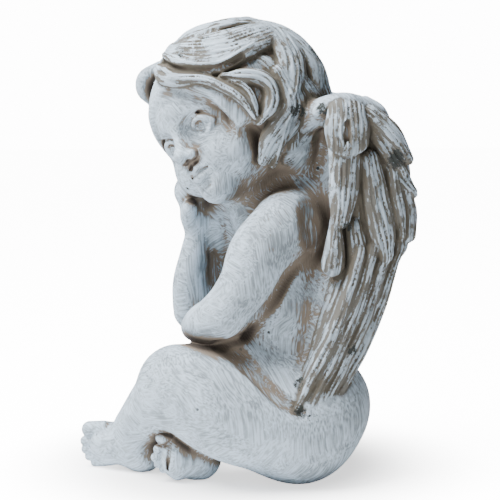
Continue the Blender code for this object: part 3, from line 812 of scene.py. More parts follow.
@dataclass
class Hair:
    """The cap of hair, open at the face, and the thick locks laid on it.

    Attributes:
        head: the head it is on.
        centre, radii: the cap's middle and half sizes.
        skin: how far the cap lies under the locks' own surface.
        nape: middle and radii of the hair low on the neck.
        opening: middle and radii of the hollow for the face, in the head's own axes.
        temple, behind_ear: middle and radii of hollows on the left.
        near, far: the locks on the left and on the right.
        curls: thick curls over the brow.
        grooves: furrows between the near locks, as y, z and radius.
        falls: the locks on the back and on the brow.
        furthest: how far out over the cap a lock may lie, as a share of its half sizes.
        side_end, fall_end, end_height: width and height of a lock's ends, as shares.
        flaking: how much of the wash has come off.
    """

    head: Head
    centre: Vector = field(default_factory=lambda: Vector((0.0, -4.7, 171.4)))
    radii: Vector = field(default_factory=lambda: Vector((38.0, 41.2, 39.0)))
    skin: float = 1.0
    nape: Oval = ((0, 20, 158), (29, 17, 23))
    opening: Oval = ((4, 41, -14), (29, 31, 36))
    temple: Oval = ((35, -1, 148), (13, 9, 17))
    behind_ear: Oval = ((38, 25, 156), (10, 6.5, 9.5))
    near: tuple[Lock, ...] = (
        Lock(((12, 207), (3, 203.5), (-6, 200.5), (-16, 198), (-26, 197), (-35, 198)),
             9.5, 4.2, 0.4, 8, shares=(0.7, 0.9, 1.0, 1.0, 0.8, 0.4)),
        Lock(((6.5, 210.3), (-4.6, 209.0), (-16, 207), (-26, 203.6), (-34, 199.7)), 4.8, 3.2),
        Lock(((7, 206), (-3.4, 202.5), (-12.5, 199), (-22, 196.2), (-31, 196.3), (-37.7, 197.9)),
             4.6, 3.2),
        Lock(((7, 201.6), (-1.5, 198), (-8, 194), (-15, 190.5), (-23.7, 189.8), (-32, 191.9),
              (-38.2, 195.1)), 3.8, 3.8, grooves=2),
        Lock(((-42, 189.2), (-38.3, 186.5), (-32.4, 184.6), (-25.2, 185), (-20.5, 184.2), (-14.5, 181.6),
              (-8.5, 178.3), (-4.2, 174.4), (-1.5, 170)),
             2.6, 3.4, grooves=2, shares=(1.3, 1.9, 1.5, 1.0, 0.9, 0.9, 0.9, 0.8, 0.4)),
        Lock(((-11.8, 185.7), (-5.3, 185.7), (1.4, 185.2), (5.8, 182.6), (7.5, 177.8), (6.5, 172.1),
              (3.4, 167.8)), 3.7, 3.9, grooves=2),
        Lock(((-10.2, 183.1), (-5.4, 181.3), (-2.4, 177.9), (-0.6, 173.5), (0.7, 169.6)),
             2.0, 2.6, grooves=1),
        Lock(((7.4, 203.5), (12.8, 197.6), (17, 191.4), (18, 184.8), (16.8, 178.2), (14.4, 173.4)),
             2.8, 3.4, grooves=2),
        Lock(((0.6, 196.2), (6.3, 192.7), (10.6, 187.4), (11.7, 180.4), (10.7, 173.4), (7.5, 167.3)),
             3.4, 2.4, lift=-1.5),
        Lock(((10.2, 211.2), (19.5, 205.7), (26.5, 198.4), (29.1, 189.2), (29.2, 181.1)), 5.5, 3.6),
        Lock(((17.3, 172.4), (14, 167.2), (11.8, 161), (10.2, 154.7), (9.3, 148.3)),
             2.8, 4.2, lift=0.0, grooves=2),
        Lock(((19.3, 165.3), (18.6, 159), (17.6, 152.7), (16.7, 146.6)), 2.4, 2.8, lift=-1.0, grooves=2),
    )
    far: tuple[Lock, ...] = (
        Lock(((4, 208), (-10, 206), (-24, 200), (-36, 192)), 6.5, 3.4, grooves=4),
        Lock(((0, 198), (-14, 196), (-26, 189), (-37, 180)), 6.0, 3.6),
        Lock(((4, 186), (-10, 184), (-22, 177), (-31, 166)), 6.0, 3.6),
        Lock(((12, 196), (20, 184), (18, 170), (10, 160)), 6.5, 3.8),
        Lock(((4, 174), (-6, 170), (-14, 162), (-16, 152)), 5.5, 3.6),
        Lock(((22, 176), (20, 162), (12, 151)), 5.5, 3.6),
    )
    curls: tuple[Path, ...] = (
        ((-12, -40, 189.5, 3.4), (-15, -46.4, 185, 4.2), (-18, -46.8, 179.5, 4.4),
         (-19, -43.6, 175.2, 3.4)),
        ((-19, -41, 174, 3.2), (-21, -42.6, 168, 3.0), (-22, -41.6, 162, 2.8), (-21, -38.5, 156.5, 2.0)),
        ((-18, -34, 184, 6.0), (-20, -38, 176, 5.5), (-22, -35, 166, 5.0)),
    )
    grooves: tuple[Path, ...] = (
        ((-40, 191.5, 0.9), (-30, 187.6, 1.3), (-19, 187.3, 1.3), (-11.5, 190.2, 1.2), (-5.5, 193, 0.9)),
        ((3.5, 208.5, 0.8), (9.5, 205.6, 1.3), (13.5, 201, 1.3), (17.5, 196.5, 0.9)),
    )

    falls: tuple[Fall, ...] = (
        Fall(range(-56, 57, 22), (8, 34, 62, 90), 7.5, 3.4),
        Fall(range(-66, 67, 22), (66, 88, 108, 124), 7.0, 3.4),
        Fall((128, 150, 171, 192), (6, 26, 44, 57), 6.5, 2.2, -0.3),
    )
    furthest: float = 0.98
    side_end: float = 0.45
    fall_end: float = 0.5
    end_height: float = 0.7
    flaking: float = 0.45

    def model_cap(self, clay: Clay) -> None:
        """Press the cap on and open it at the face."""
        clay.add(Ball(self.centre, self.radii - Vector((self.skin,) * 3)), 6)
        clay.add(Ball(*self.nape), 5)
        clay.cut(self.head.ball(*self.opening), 3)
        clay.cut(Ball(*self.temple), 4)

    def model_locks(self, clay: Clay) -> None:
        """Press all locks on.

        Args:
            clay: what it all is pressed on.
        """
        for side, locks in ((1, self.near), (-1, self.far)):
            for number, lock in enumerate(locks):
                self._side_lock(clay, lock, side, 0.7 * number)
        for curl in self.curls:
            clay.add(Limb(curl), 1.5)
        for groove in self.grooves:
            clay.cut(Limb([(*self._on_cap(y, z, 1, 2.4), radius) for y, z, radius in groove]), 1.5)
        for fall in self.falls:
            for turn in fall.turns:
                self._fallen_lock(clay, fall, turn)
        clay.cut(Ball(*self.behind_ear), 2.5)

    def _on_cap(self, y: float, z: float, side: int, lift: float) -> Vector:
        """A place on the cap, seen from the figure's side.

        Args:
            y, z: where it is seen.
            side: which side it is on, 1 for the left.
            lift: how far it stands off the cap.

        Returns:
            The place.
        """
        across = (y - self.centre.y) / self.radii.y
        above = (z - self.centre.z) / self.radii.z
        reach = math.hypot(across, above)
        if reach > self.furthest:
            across *= self.furthest / reach
            above *= self.furthest / reach
            reach = self.furthest
        out = Vector((side * math.sqrt(1.0 - reach ** 2), across, above))
        return self._lifted(out, lift)

    def _lifted(self, out: Vector, lift: float) -> Vector:
        """A place at a height above the cap."""
        return self.centre + Vector([a * (b + lift) for a, b in zip(out, self.radii)])

    def _facing(self, place: Vector) -> Vector:
        """The way out of the cap at a place on it."""
        away = place - self.centre
        return Vector([a / b ** 2 for a, b in zip(away, self.radii)]).normalized()

    def _side_lock(self, clay: Clay, lock: Lock, side: int, phase: float) -> None:
        """Lay a lock on the cap, thinning to both ends.

        Args:
            clay: what it is pressed on.
            lock: its run and sizes.
            side: which side it is on, 1 for the left.
            phase: where its grooves start.
        """
        stations = []
        last = len(lock.path) - 1
        for k, (y, z) in enumerate(lock.path):
            end = k in (0, last)
            share = lock.shares[k] if lock.shares else self.side_end if end else 1.0
            stations.append((*self._on_cap(y, z, side, lock.lift), lock.width * share,
                             lock.height * (self.end_height if end else 1.0)))
        combing = Combing(lock.grooves + 1.0, 1.0, phase, flaking=self.flaking)
        clay.add(Ribbon(stations, self._facing, combing), 1.3)

    def _fallen_lock(self, clay: Clay, fall: Fall, turn: float) -> None:
        """Lay a lock that falls from the crown, swaying a little.

        Args:
            clay: what it is pressed on.
            fall: the row of locks that it is one of.
            turn: where it falls, in degrees round the head from its back.
        """
        stations = []
        last = len(fall.path) - 1
        for k, angle in enumerate(fall.path):
            sway = math.radians(turn + 9.0 * math.sin(k * 1.7 + turn * 0.05))
            drop = math.radians(angle)
            out = Vector((math.sin(sway) * math.sin(drop), math.cos(sway) * math.sin(drop), math.cos(drop)))
            end = k in (0, last)
            stations.append((*self._lifted(out, fall.lift), fall.width * (self.fall_end if end else 1.0),
                             fall.height * (self.end_height if end else 1.0)))
        clay.add(Ribbon(stations, self._facing, Combing(5, 1.0, turn * 0.1, flaking=self.flaking)), 1.3)


# The body

@dataclass
class Torso:
    """Seat, belly, back, chest, shoulders and neck.

    Attributes:
        seat, back: middle and radii of what lies in the middle.
        rounds: middle and radii of the hips' masses on the left.
        trunk: middle and radii of the masses from the belly up to the chest.
        swells: middle and radii of the right breast and the left side.
        shoulders, neck: cords of the shoulders and neck.
        spine, cleft: furrows down the back.
    """

    seat: Oval = ((0, 24, 33), (38, 25, 29))
    rounds: tuple[Oval, ...] = (((23, 27, 36), (27, 27.6, 26)), ((23, 20, 22), (27, 24, 21.5)))
    trunk: tuple[Oval, ...] = (
        ((0, 12, 52), (37, 29, 27)), ((0, 20, 80), (38, 26, 33)), ((0, 17, 104), (34, 23, 24)),
    )
    back: Oval = ((0, 27, 126), (27, 15, 27))
    swells: tuple[Oval, ...] = (
        ((-12, -10, 119), (9, 13, 17)), ((22, -4, 60), (17, 16, 12)), ((21, 12, 84), (18, 18, 28)),
    )
    shoulders: Path = ((-29, 18, 117, 13), (0, 18, 122, 15), (29, 18, 119, 13))
    neck: Path = ((0, 16, 118, 20), (-1, 4, 136, 18), (-2, -4, 150, 18))
    spine: Path = ((0, 43.5, 132, 1.4), (0, 45.5, 112, 2.0), (0, 48, 90, 2.4), (0, 47.5, 70, 2.0),
                   (0, 46, 60, 1.4))
    cleft: Path = ((0, 52, 53, 1.2), (0, 53, 42, 2.4), (0, 51, 28, 2.6), (0, 45, 13, 2.2))

    def model(self, clay: Clay) -> None:
        """Press the trunk on.

        Args:
            clay: what it all is pressed on.
        """
        clay.add(Ball(*self.seat), 4)
        for side in SIDES:
            for middle, radii in self.rounds:
                clay.add(Ball((side * middle[0], *middle[1:]), radii), 6)
        for mass in self.trunk:
            clay.add(Ball(*mass), 10)
        clay.add(Ball(*self.back), 8)
        for mass in self.swells:
            clay.add(Ball(*mass), 6)
        clay.add(Limb(self.shoulders), 10)
        clay.add(Limb(self.neck), 8)
        clay.cut(Limb(self.spine), 6)
        clay.cut(Limb(self.cleft), 4)


@dataclass
class Legs:
    """The left leg over the right one, and both feet.

    Attributes:
        right_thigh, right_shin, left_thigh, left_shin: cords of the legs.
        fold: the hollow between the left thigh and the hip.
        left_heel, left_ball, right_heel, right_ball: middle and radii of the feet's ends.
        left_foot, right_foot: cords of the feet.
        left_toes, right_toes: how far forward each toe reaches, its height and its radius.
        sole: the furrow over the right foot's sole.
    """

    right_thigh: Path = ((-26, 20, 26, 24), (-42, -8, 23, 20), (-51, -30, 21, 17))
    right_shin: Path = ((-51, -31, 20, 16), (-26, -34, 17, 14), (4, -30, 14, 10))
    left_thigh: Path = ((27, 22, 29, 26), (31, -6, 35, 24.5), (29, -24, 43, 22), (26, -34, 47.5, 17.5))
    left_shin: Path = ((26, -35.5, 45, 16.5), (16, -42.5, 35, 14.5), (3, -52, 23, 10.8))
    fold: Path = ((36.5, -15.5, 68, 3.2), (39.5, -7.3, 61.5, 3.4), (45.3, 0.6, 53, 3.2),
                  (50.6, 9.3, 44.5, 2.6), (52.6, 19, 38.5, 1.6))
    left_heel: Oval = ((2, -50, 10), (9.5, 10, 10))
    left_foot: Path = ((1, -52, 17, 10.5), (-3, -60, 13, 10), (-6, -66.5, 12.5, 8.5))
    left_ball: Oval = ((-5, -66.5, 12.5), (6.5, 6.5, 10.5))
    left_toes: Path = (
        (-74.6, 19.9, 3.9), (-76.6, 14.3, 2.6), (-76.4, 10.4, 2.4), (-75.0, 6.9, 2.2), (-72.4, 3.9, 2.1))
    right_heel: Oval = ((19, -24, 11), (10, 10, 10.5))
    right_foot: Path = ((18, -26, 12, 10), (21, -31, 12, 9.5), (22, -35, 12.5, 8.8))
    right_ball: Oval = ((24, -34.5, 12.5), (7, 5.5, 10.8))
    right_toes: Path = (
        (-41.0, 22.0, 3.4), (-43.0, 16.7, 2.4), (-44.4, 12.9, 2.2), (-43.4, 9.8, 1.9), (-41.2, 7.2, 1.7))
    sole: Path = ((28.5, -38, 20.5, 0.8), (30, -38.8, 14, 1.1), (28, -38.6, 8, 0.8))

    def model(self, clay: Clay) -> None:
        """Press the legs on.

        Args:
            clay: what it all is pressed on.
        """
        clay.add(Limb(self.right_thigh, 24), 8)
        clay.add(Limb(self.right_shin, 24), 4)
        clay.add(Limb(self.left_thigh, 32), 8)
        clay.add(Limb(self.left_shin, 32), 4)
        clay.cut(Limb(self.fold), 3.5)
        self._left_foot(clay)
        self._right_foot(clay)

    def _left_foot(self, clay: Clay) -> None:
        """Press on the front foot, which lies on its outer edge, its back to the left and its toes forward.

        Args:
            clay: what it is pressed on.
        """
        clay.add(Ball(*self.left_heel), 5)
        clay.add(Limb(self.left_foot), 5)
        clay.add(Ball(*self.left_ball), 3)
        for reach, height, radius in self.left_toes:
            clay.add(Limb([(-4, -68, height, radius), (-6, reach, height - 0.5, radius)]), 0.6)
            nail = [(-5, reach + 1.5, height + radius * 0.55, 0.5),
                    (-8, reach - radius * 0.5, height + 0.2, 0.3),
                    (-6.5, reach - radius * 0.9, height - radius * 0.5, 0.4)]
            clay.cut(Limb(nail), 0.5)

    def _right_foot(self, clay: Clay) -> None:
        """Press on the foot under the left knee, which lies on its outer edge, its sole to the left.

        Args:
            clay: what it is pressed on.
        """
        clay.add(Ball(*self.right_heel), 4)
        clay.add(Limb(self.right_foot), 4)
        clay.add(Ball(*self.right_ball), 3)
        for reach, height, radius in self.right_toes:
            clay.add(Limb([(24, -36, height, radius * 0.9), (25.5, reach, height, radius)]), 0.5)
        clay.cut(Limb(self.sole), 0.7)


@dataclass(frozen=True)
class Fingers:
    """The fingers of a hand, side by side.

    Attributes:
        path: stations of the first one, from its root.
        steps: how far the next one lies from it at each station.
        number: how many there are.
    """

    path: Path
    steps: Path
    number: int = 4

    def model(self, clay: Clay, softness: float) -> None:
        """Press the fingers on."""
        for k in range(self.number):
            finger = [(x + k * left, y + k * back, z + k * up, radius)
                      for (x, y, z, radius), (left, back, up) in zip(self.path, self.steps)]
            clay.add(Limb(finger), softness)


@dataclass
class Arms:
    """The left arm across the knee, the right one up to the cheek.

    Attributes:
        left_upper, left_lower, right_upper, right_lower: cords of the arms.
        arm_fold: the furrow between the left arm and the side.
        shoulder_fold, right_side: middle and radii of the hollow behind the left shoulder and of the mass
            behind the right arm.
        left_palm: middle and radii of the hand on the knee.
        right_wrist, right_palm: middle and radii of the hand at the cheek.
        left_fingers, right_fingers: the fingers of each hand, the right ones laid back along the jaw.
        thumb: the right hand's thumb.
    """

    left_upper: Path = ((31, 14, 119, 15), (35.5, 2.5, 107.4, 14), (37.5, -3.7, 94, 12.3),
                        (36, -13, 80.3, 10.8))
    left_lower: Path = ((36, -13, 80.3, 10.8), (27, -21, 75, 9.5), (13, -25, 71, 7))
    arm_fold: Path = ((36.5, 25, 107.3, 1.8), (38.7, 14, 97.6, 2.8), (40, 6, 85.5, 3.2),
                      (39.7, -4.6, 73, 3.2), (35, -15.4, 66.5, 2.4))
    shoulder_fold: Oval = ((43, 29, 123), (9, 9, 15))
    left_palm: Oval = ((7, -20, 69), (9, 8, 6.5))
    left_fingers: Fingers = Fingers(
        ((5, -24, 69, 3.3), (-9, -24, 64, 2.7)),
        ((-1.5, 2.4, 0), (-1.5, 3.2, 0)))
    right_upper: Path = ((-31, 18, 116, 14), (-34, 0, 98, 14), (-24, -18, 78, 13))
    right_lower: Path = ((-19, -22.5, 75, 12), (-14, -26, 88, 8.6), (-11, -24.6, 102, 6.6),
                         (-11, -22.4, 114, 5.4))
    right_side: Oval = ((-22, -8, 102), (9, 17, 25))
    right_wrist: Oval = ((-10, -24.4, 121), (7.5, 6.8, 9))
    right_palm: Oval = ((-9, -26.5, 132), (8, 7.5, 8))
    right_fingers: Fingers = Fingers(
        ((-10, -27.3, 127, 3.4), (-12.4, -29.0, 138, 3.2), (-18.3, -28.9, 144.5, 2.7)),
        ((-4.0, 2.4, 1), (-4.2, 2.4, 1), (-4.0, 2.6, 1)))
    thumb: Path = ((-6, -27, 120, 4), (0, -27, 125, 3.6))

    def model(self, clay: Clay) -> None:
        """Press the arms and hands on.

        Args:
            clay: what it all is pressed on.
        """
        clay.add(Limb(self.left_upper, 28), 5)
        clay.add(Limb(self.left_lower), 3)
        clay.cut(Limb(self.arm_fold), 2.5)
        clay.cut(Ball(*self.shoulder_fold), 5)
        clay.add(Ball(*self.left_palm), 3)
        self.left_fingers.model(clay, 1.2)
        clay.add(Limb(self.right_upper, 24), 6)
        clay.add(Limb(self.right_lower, 24), 4)
        clay.add(Ball(*self.right_side), 5)
        clay.add(Ball(*self.right_wrist), 4)
        clay.add(Ball(*self.right_palm), 4)
        self.right_fingers.model(clay, 1.4)
        clay.add(Limb(self.thumb), 2)


# The wings

@dataclass(frozen=True)
class Feather:
    """A feather on a wing.

    Attributes:
        path: places of y and z along it, from its root.
        width, thick: its half sizes.
        lift: how far its middle line stands off the wing's face.
        shares: its width at each place, as shares of its width; widest past its middle if left out.
    """

    path: tuple[tuple[float, float], ...]
    width: float
    thick: float
    lift: float
    shares: tuple[float, ...] = ()


@dataclass
class Wing:
    """A wing from the shoulder blade, its tip laid on the hip.

    Attributes:
        side: which side it is on, 1 for the left.
        feathers: the feathers on its outer face, each over the ones before.
        root, core: the masses that join it to the back.
        plate: the blade that bears the feathers, with half widths and half thicknesses.
        plate_combing: the grooves of its back and inner face.
        rim, ridge, corner: cords of its upper edge.
        pits: two furrows in its face.
        reach: how far out its face stands.
        middle, bow: depth where its face stands out most, and how it falls off from there.
        top, foot: from which height its face turns in or out, over how far, and by how much.
    """

    side: int
    feathers: tuple[Feather, ...] = (
        Feather(((61.5, 104), (54.5, 83), (45, 62), (36, 45)), 4.6, 3.6, -3.0),
        Feather(((57, 107), (49, 82), (39, 60), (30, 42)), 4.2, 4.0, -1.0),
        Feather(((51, 108), (43, 82), (33, 59), (24, 41)), 4.0, 4.2, 0.4),
        Feather(((45, 106), (37, 80), (27, 58), (19, 42)), 3.8, 4.6, 1.0),
        Feather(((43.6, 119), (45.3, 104.5), (41, 89)), 5.2, 3.6, -0.6),
        Feather(((64.0, 117), (65.2, 111), (63.6, 106)), 4.2, 3.0, -2.0),
        Feather(((66.4, 137), (69, 126), (69.2, 116)), 4.4, 3.0, -0.9, (0.7, 1.0, 0.9)),
        Feather(((59.4, 147), (65.1, 140.5), (69.4, 135.6)), 4.6, 3.2, 0.0),
        Feather(((60.5, 143), (63.4, 127), (64.7, 117.5)), 3.7, 3.2, 0.9),
        Feather(((34.8, 120), (34.6, 110.5), (34.0, 104)), 5.4, 4.2, 0.6, (0.5, 0.85, 1.0)),
        Feather(((50.0, 149), (53.2, 132), (56.3, 117), (57.6, 108.5)),
                6.4, 3.6, 1.9, (0.7, 1.0, 1.0, 0.6)),
        Feather(((39.4, 151), (38.4, 137), (37.0, 124.5)), 6.9, 3.8, 2.4, (0.95, 1.0, 0.66)),
        Feather(((54.1, 161), (59.4, 152.4), (64.0, 145.5)), 4.6, 3.2, 1.8, (1.0, 1.0, 0.6)),
        Feather(((50.5, 168.5), (59.6, 160.8), (66.6, 151)), 5.0, 3.2, 3.2, (1.0, 1.0, 0.6)),
        Feather(((39.6, 170), (39.4, 163), (39.6, 157.5)), 10.3, 4.2, 5.2, (0.86, 1.0, 0.92)),
    )

    root: Path = ((13, 36, 100, 12), (15, 39, 118, 12), (19, 43, 142, 12), (22, 43, 160, 11))
    plate: Path = ((33, 44, 166, 13, 8), (36, 51, 148, 19, 8.5), (36, 52, 128, 18, 8.5),
                   (37, 50, 108, 13, 7), (41, 38, 76, 9.5, 6), (44, 26, 48, 7, 5))
    plate_combing: Combing = Combing(9, 1.3, flaking=0.7, both_faces=True)
    core: Path = ((30, 33, 52, 11), (30, 34, 72, 11), (27, 36, 94, 11))
    rim: Path = ((24, 24, 166, 6), (31, 30, 170, 6.3), (34, 39, 172, 6.3), (35, 49, 168.5, 6.3),
                 (34, 57, 163, 5))
    ridge: Path = ((39, 28.5, 170.5, 3.4), (42, 34, 174, 4.3), (42.5, 41, 174.3, 4.5),
                   (40, 48.5, 172.2, 4.0))
    corner: Path = ((37, 49, 174, 3.4), (37.5, 54.5, 170.5, 3.6), (36, 58, 166, 3.0))
    pits: tuple[tuple[Path, float], ...] = (
        (((52, 39.2, 166, 1.0), (53, 39.0, 161.5, 1.3), (52.5, 38.8, 157.5, 0.9)), 0.6),
        (((48.4, 44, 71.5, 0.8), (48.8, 42.6, 65.5, 1.5), (48.4, 41, 60, 0.8)), 0.5),
    )
    reach: float = 45.0
    middle: float = 30.0
    bow: float = 0.0045
    top: Place = (158.0, 24.0, 12.0)
    foot: Place = (64.0, 30.0, 3.0)

    def _x(self, y: float, z: float) -> float:
        """How far out the wing's outer face stands at a height and depth."""
        top = max(z - self.top[0], 0.0) / self.top[1]
        foot = max(self.foot[0] - z, 0.0) / self.foot[1]
        return self.reach - self.bow * (y - self.middle) ** 2 - self.top[2] * top ** 2 + self.foot[2] * foot

    def _facing(self, place: Vector) -> Vector:
        """The way the wing's outer face looks."""
        return Vector((self.side, 0.012 * (place.y - self.middle), 0.02 * max(place.z - 160.0, 0.0)))

    def _limb(self, path: Path) -> Limb:
        """A cord given for the left wing, on this wing's side."""
        return Limb(on_side(self.side, path))

    def model(self, clay: Clay) -> None:
        """Press the wing on.

        Args:
            clay: what it all is pressed on.
        """
        clay.add(self._limb(self.root), 6)
        clay.add(Ribbon(on_side(self.side, self.plate), self._facing, self.plate_combing), 4)
        clay.add(self._limb(self.core), 5)
        for number, feather in enumerate(self.feathers):
            self._feather(clay, feather, 0.9 * number)
        clay.add(self._limb(self.rim), 2.5)
        clay.add(self._limb(self.ridge), 1.2)
        clay.add(self._limb(self.corner), 1.2)
        for pit, softness in self.pits:
            clay.cut(self._limb(pit), softness)

    def _feather(self, clay: Clay, feather: Feather, phase: float) -> None:
        """Lay a feather with a round tip on the wing's face.

        Args:
            clay: what it is pressed on.
            feather: its run and sizes.
            phase: where its grooves start.
        """
        stations = []
        last = len(feather.path) - 1
        for k, (y, z) in enumerate(feather.path):
            share = feather.shares[k] if feather.shares else {0: 0.8, last: 0.6}.get(k, 1.0)
            stations.append((self.side * (self._x(y, z) + feather.lift), y, z, feather.width * share,
                             feather.thick))
        combing = Combing(max(3.0, feather.width * 0.85), 1.0, phase)
        clay.add(Ribbon(stations, self._facing, combing), 0.6)


# The casting

@dataclass
class Figure:
    """The whole figure in clay.

    Attributes:
        seat: the height at which it is cut flat.
        head: the place and tilt of the head.
    """

    seat: float = 1.2
    head: Head = field(default_factory=Head)

    def clay(self) -> Clay:
        """All parts pressed together in order."""
        clay = Clay(self.seat)
        hair = Hair(self.head)
        hair.model_cap(clay)
        Face(self.head).model(clay)
        Torso().model(clay)
        Legs().model(clay)
        Arms().model(clay)
        hair.model_locks(clay)
        for side in SIDES:
            Wing(side).model(clay)
        return clay


class Wear(Enum):
    """What marks a place, by the name of its attribute: chips, or rub spots, some of which are painted
    shade.
    """

    CHIP = "chipped"
    # Rub spots: thin paint, and painted shade on the near shoulder and upper arm.
    RUB_AND_SHADE = "rubbed_and_shaded"


@dataclass(frozen=True)
class Spot:
    """A round area of wear; some rub spots are painted shade.

    Attributes:
        place: its middle, in clay units.
        radius: how far it reaches.
        wear: its kind, a chip or a rub spot; some rub spots are painted shade.
    """

    place: Place
    radius: float
    wear: Wear = Wear.CHIP


# The rub spots on the near shoulder and upper arm, at (46, 8, 116) and (46, -6, 92), are painted shade; the
# one on the side of the chest, at (40, 18.5, 83), is a thin patch of the paint.
SPOTS = (
    Spot((21, -29, 194), 6), Spot((22, -20, 198), 7), Spot((22, -10, 203), 5), Spot((36, 20, 170.5), 5.5),
    Spot((48, 19, 37.5), 6.5), Spot((50, 24, 36), 5), Spot((47, 19.5, 50), 4.5), Spot((44, 42, 65), 5),
    Spot((47, 39, 164), 5), Spot((42, 30, 172), 4.5), Spot((44, 62, 150), 6), Spot((30, -37.5, 32.5), 3.5),
    Spot((30, -31, 28), 3.5), Spot((48, 40, 120), 4), Spot((45, 11.8, 130), 1.0),
    Spot((48, 11.4, 110.8), 1.0), Spot((-36, 22, 168), 7), Spot((-46, 42, 150), 6), Spot((-50, 20, 40), 6),
    Spot((10, 30, 196), 7), Spot((-12, -20, 203), 7),
    Spot((40, 18.5, 83), 8, Wear.RUB_AND_SHADE), Spot((40, 12, 132), 6, Wear.RUB_AND_SHADE), Spot((30, -10, 60), 7, Wear.RUB_AND_SHADE),
    Spot((46, 30, 50), 6, Wear.RUB_AND_SHADE), Spot((-46, 22, 60), 8, Wear.RUB_AND_SHADE), Spot((-40, 10, 110), 6, Wear.RUB_AND_SHADE),
    Spot((0, 45, 60), 8, Wear.RUB_AND_SHADE), Spot((46, 8, 116), 15, Wear.RUB_AND_SHADE), Spot((46, -6, 92), 10, Wear.RUB_AND_SHADE),
    Spot((34, -30, 172), 5, Wear.RUB_AND_SHADE),
)


@dataclass
class Casting:
    """The figure as one mesh piece that fills the frame's box.

    Attributes:
        clay: the modelled figure.
        grain: cell size of the surface.
        triangles: how many triangles are kept, most of them where the surface curves.
        rounds: how many times the corners are moved onto the exact surface.
        recesses: names of the recess maps, and how far round a corner each one looks; the finish darkens
            hollows by them, partly as painted shade.
        crest_depth: how far under a corner the crest map looks.
        fade: how far out a spot's wear or painted shade has faded, in its radii.
    """

    clay: Clay
    grain: float
    triangles: int = 196000
    rounds: int = 2
    recesses: tuple[tuple[str, float], ...] = (
        ("recess_fine", 1.6), ("recess_mid", 5.0), ("recess_wide", 14.0),
    )
    crest_depth: float = 2.0
    fade: float = 1.5

    def build(self, name: str, node: str) -> bpy.types.Object:
        """Make the piece.

        Args:
            name: the piece's name.
            node: the frame's node that it stands for.

        Returns:
            The object, at the origin, its place in its mesh.
        """
        corners, quads = SurfaceNet(self.clay, self.grain).mesh()
        log.info("%s: surface of %d quads", name, len(quads))
        mesh = bpy.data.meshes.new(name)
        mesh.from_pydata(corners.tolist(), [], quads.tolist())
        mesh.update()
        self._fit(mesh)
        mesh = self._thinned(mesh)
        self._mark(mesh)
        self._settle(mesh, *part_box(node))
        mesh.shade_smooth()
        piece = bpy.data.objects.new(name, mesh)
        bpy.context.collection.objects.link(piece)
        log.info("%s: %d triangles", name, len(mesh.polygons))
        return piece

    @staticmethod
    def _corners(mesh: bpy.types.Mesh) -> np.ndarray:
        """All corners of a mesh, one row each."""
        flat = np.empty(len(mesh.vertices) * 3)
        mesh.vertices.foreach_get("co", flat)
        return flat.reshape(-1, 3)

    @staticmethod
    def _normals(mesh: bpy.types.Mesh) -> np.ndarray:
        """The way out at each corner, one row each."""
        flat = np.empty(len(mesh.vertices) * 3)
        mesh.vertex_normals.foreach_get("vector", flat)
        return flat.reshape(-1, 3)

    def _fit(self, mesh: bpy.types.Mesh) -> None:
        """Move each corner along its normal until it lies on the surface.

        Args:
            mesh: the mesh, in clay units.
        """
        for _ in range(self.rounds):
            here = self._corners(mesh)
            gap = np.clip(self.clay.distance(here), -self.grain, self.grain)
            moved = here - self._normals(mesh) * gap[:, None]
            moved[:, 2] = np.maximum(moved[:, 2], self.clay.seat)
            mesh.vertices.foreach_set("co", moved.ravel())
            mesh.update()

    def _thinned(self, mesh: bpy.types.Mesh) -> bpy.types.Mesh:
        """Bring the triangles down to the number wanted.

        Args:
            mesh: the fine mesh.

        Returns:
            The thinned mesh.
        """
        carrier = bpy.data.objects.new("carrier", mesh)
        bpy.context.collection.objects.link(carrier)
        thin = carrier.modifiers.new("thin", "DECIMATE")
        thin.ratio = min(1.0, self.triangles / (2 * len(mesh.polygons)))
        thin.use_collapse_triangulate = True
        graph = bpy.context.evaluated_depsgraph_get()
        final = bpy.data.meshes.new_from_object(carrier.evaluated_get(graph))
        final.name = mesh.name
        bpy.data.objects.remove(carrier)
        return final

    def _mark(self, mesh: bpy.types.Mesh) -> None:
        """Store what the finish needs at each corner.

        Args:
            mesh: the mesh, in clay units.
        """
        here = self._corners(mesh)
        out = self._normals(mesh)
        for name, height in self.recesses:
            self._store(mesh, name, self._recess(here, out, height))
        self._store(mesh, "crest", self._crest(here, out))
        for wear in Wear:
            self._store(mesh, wear.value, self._spot_wear_and_shade(here, wear))
        rows, found = self.clay.combing(here)
        self._store_rows(mesh, "comb", rows)
        self._store_rows(mesh, "facing", out)
        self._store(mesh, "combed", np.ceil(found))
        self._store(mesh, "flaking", found)

    def _recess(self, here: np.ndarray, out: np.ndarray, height: float) -> np.ndarray:
        """How much clay stands round each corner at a height over it, from 0 in the open to 1."""
        free = self.clay.distance(here + out * height, height)
        return np.clip(1.0 - free / height, 0.0, 1.0)

    def _crest(self, here: np.ndarray, out: np.ndarray) -> np.ndarray:
        """How thin the clay is under each corner, from 0 on broad forms to 1."""
        under = self.clay.distance(here - out * self.crest_depth)
        return np.clip(1.0 + under / self.crest_depth, 0.0, 1.0)

    def _spot_wear_and_shade(self, here: np.ndarray, wear: Wear) -> np.ndarray:
        """How near each corner is to a spot of one kind; some rub spots are painted shade.

        Args:
            here: the corners, one row each.
            wear: the kind.

        Returns:
            A number for each corner, from 0 away from all spots to 1 inside one.
        """
        wear_and_shade = np.zeros(len(here))
        for spot in SPOTS:
            if spot.wear is wear:
                away = np.linalg.norm(here - np.array(spot.place), axis=1)
                wear_and_shade = np.maximum(wear_and_shade, np.clip(self.fade - away / spot.radius, 0.0, 1.0))
        return wear_and_shade

    @staticmethod
    def _store(mesh: bpy.types.Mesh, name: str, values: np.ndarray) -> None:
        """Keep a number at each corner under a name."""
        mesh.attributes.new(name, "FLOAT", "POINT").data.foreach_set("value", values.astype(np.float32))

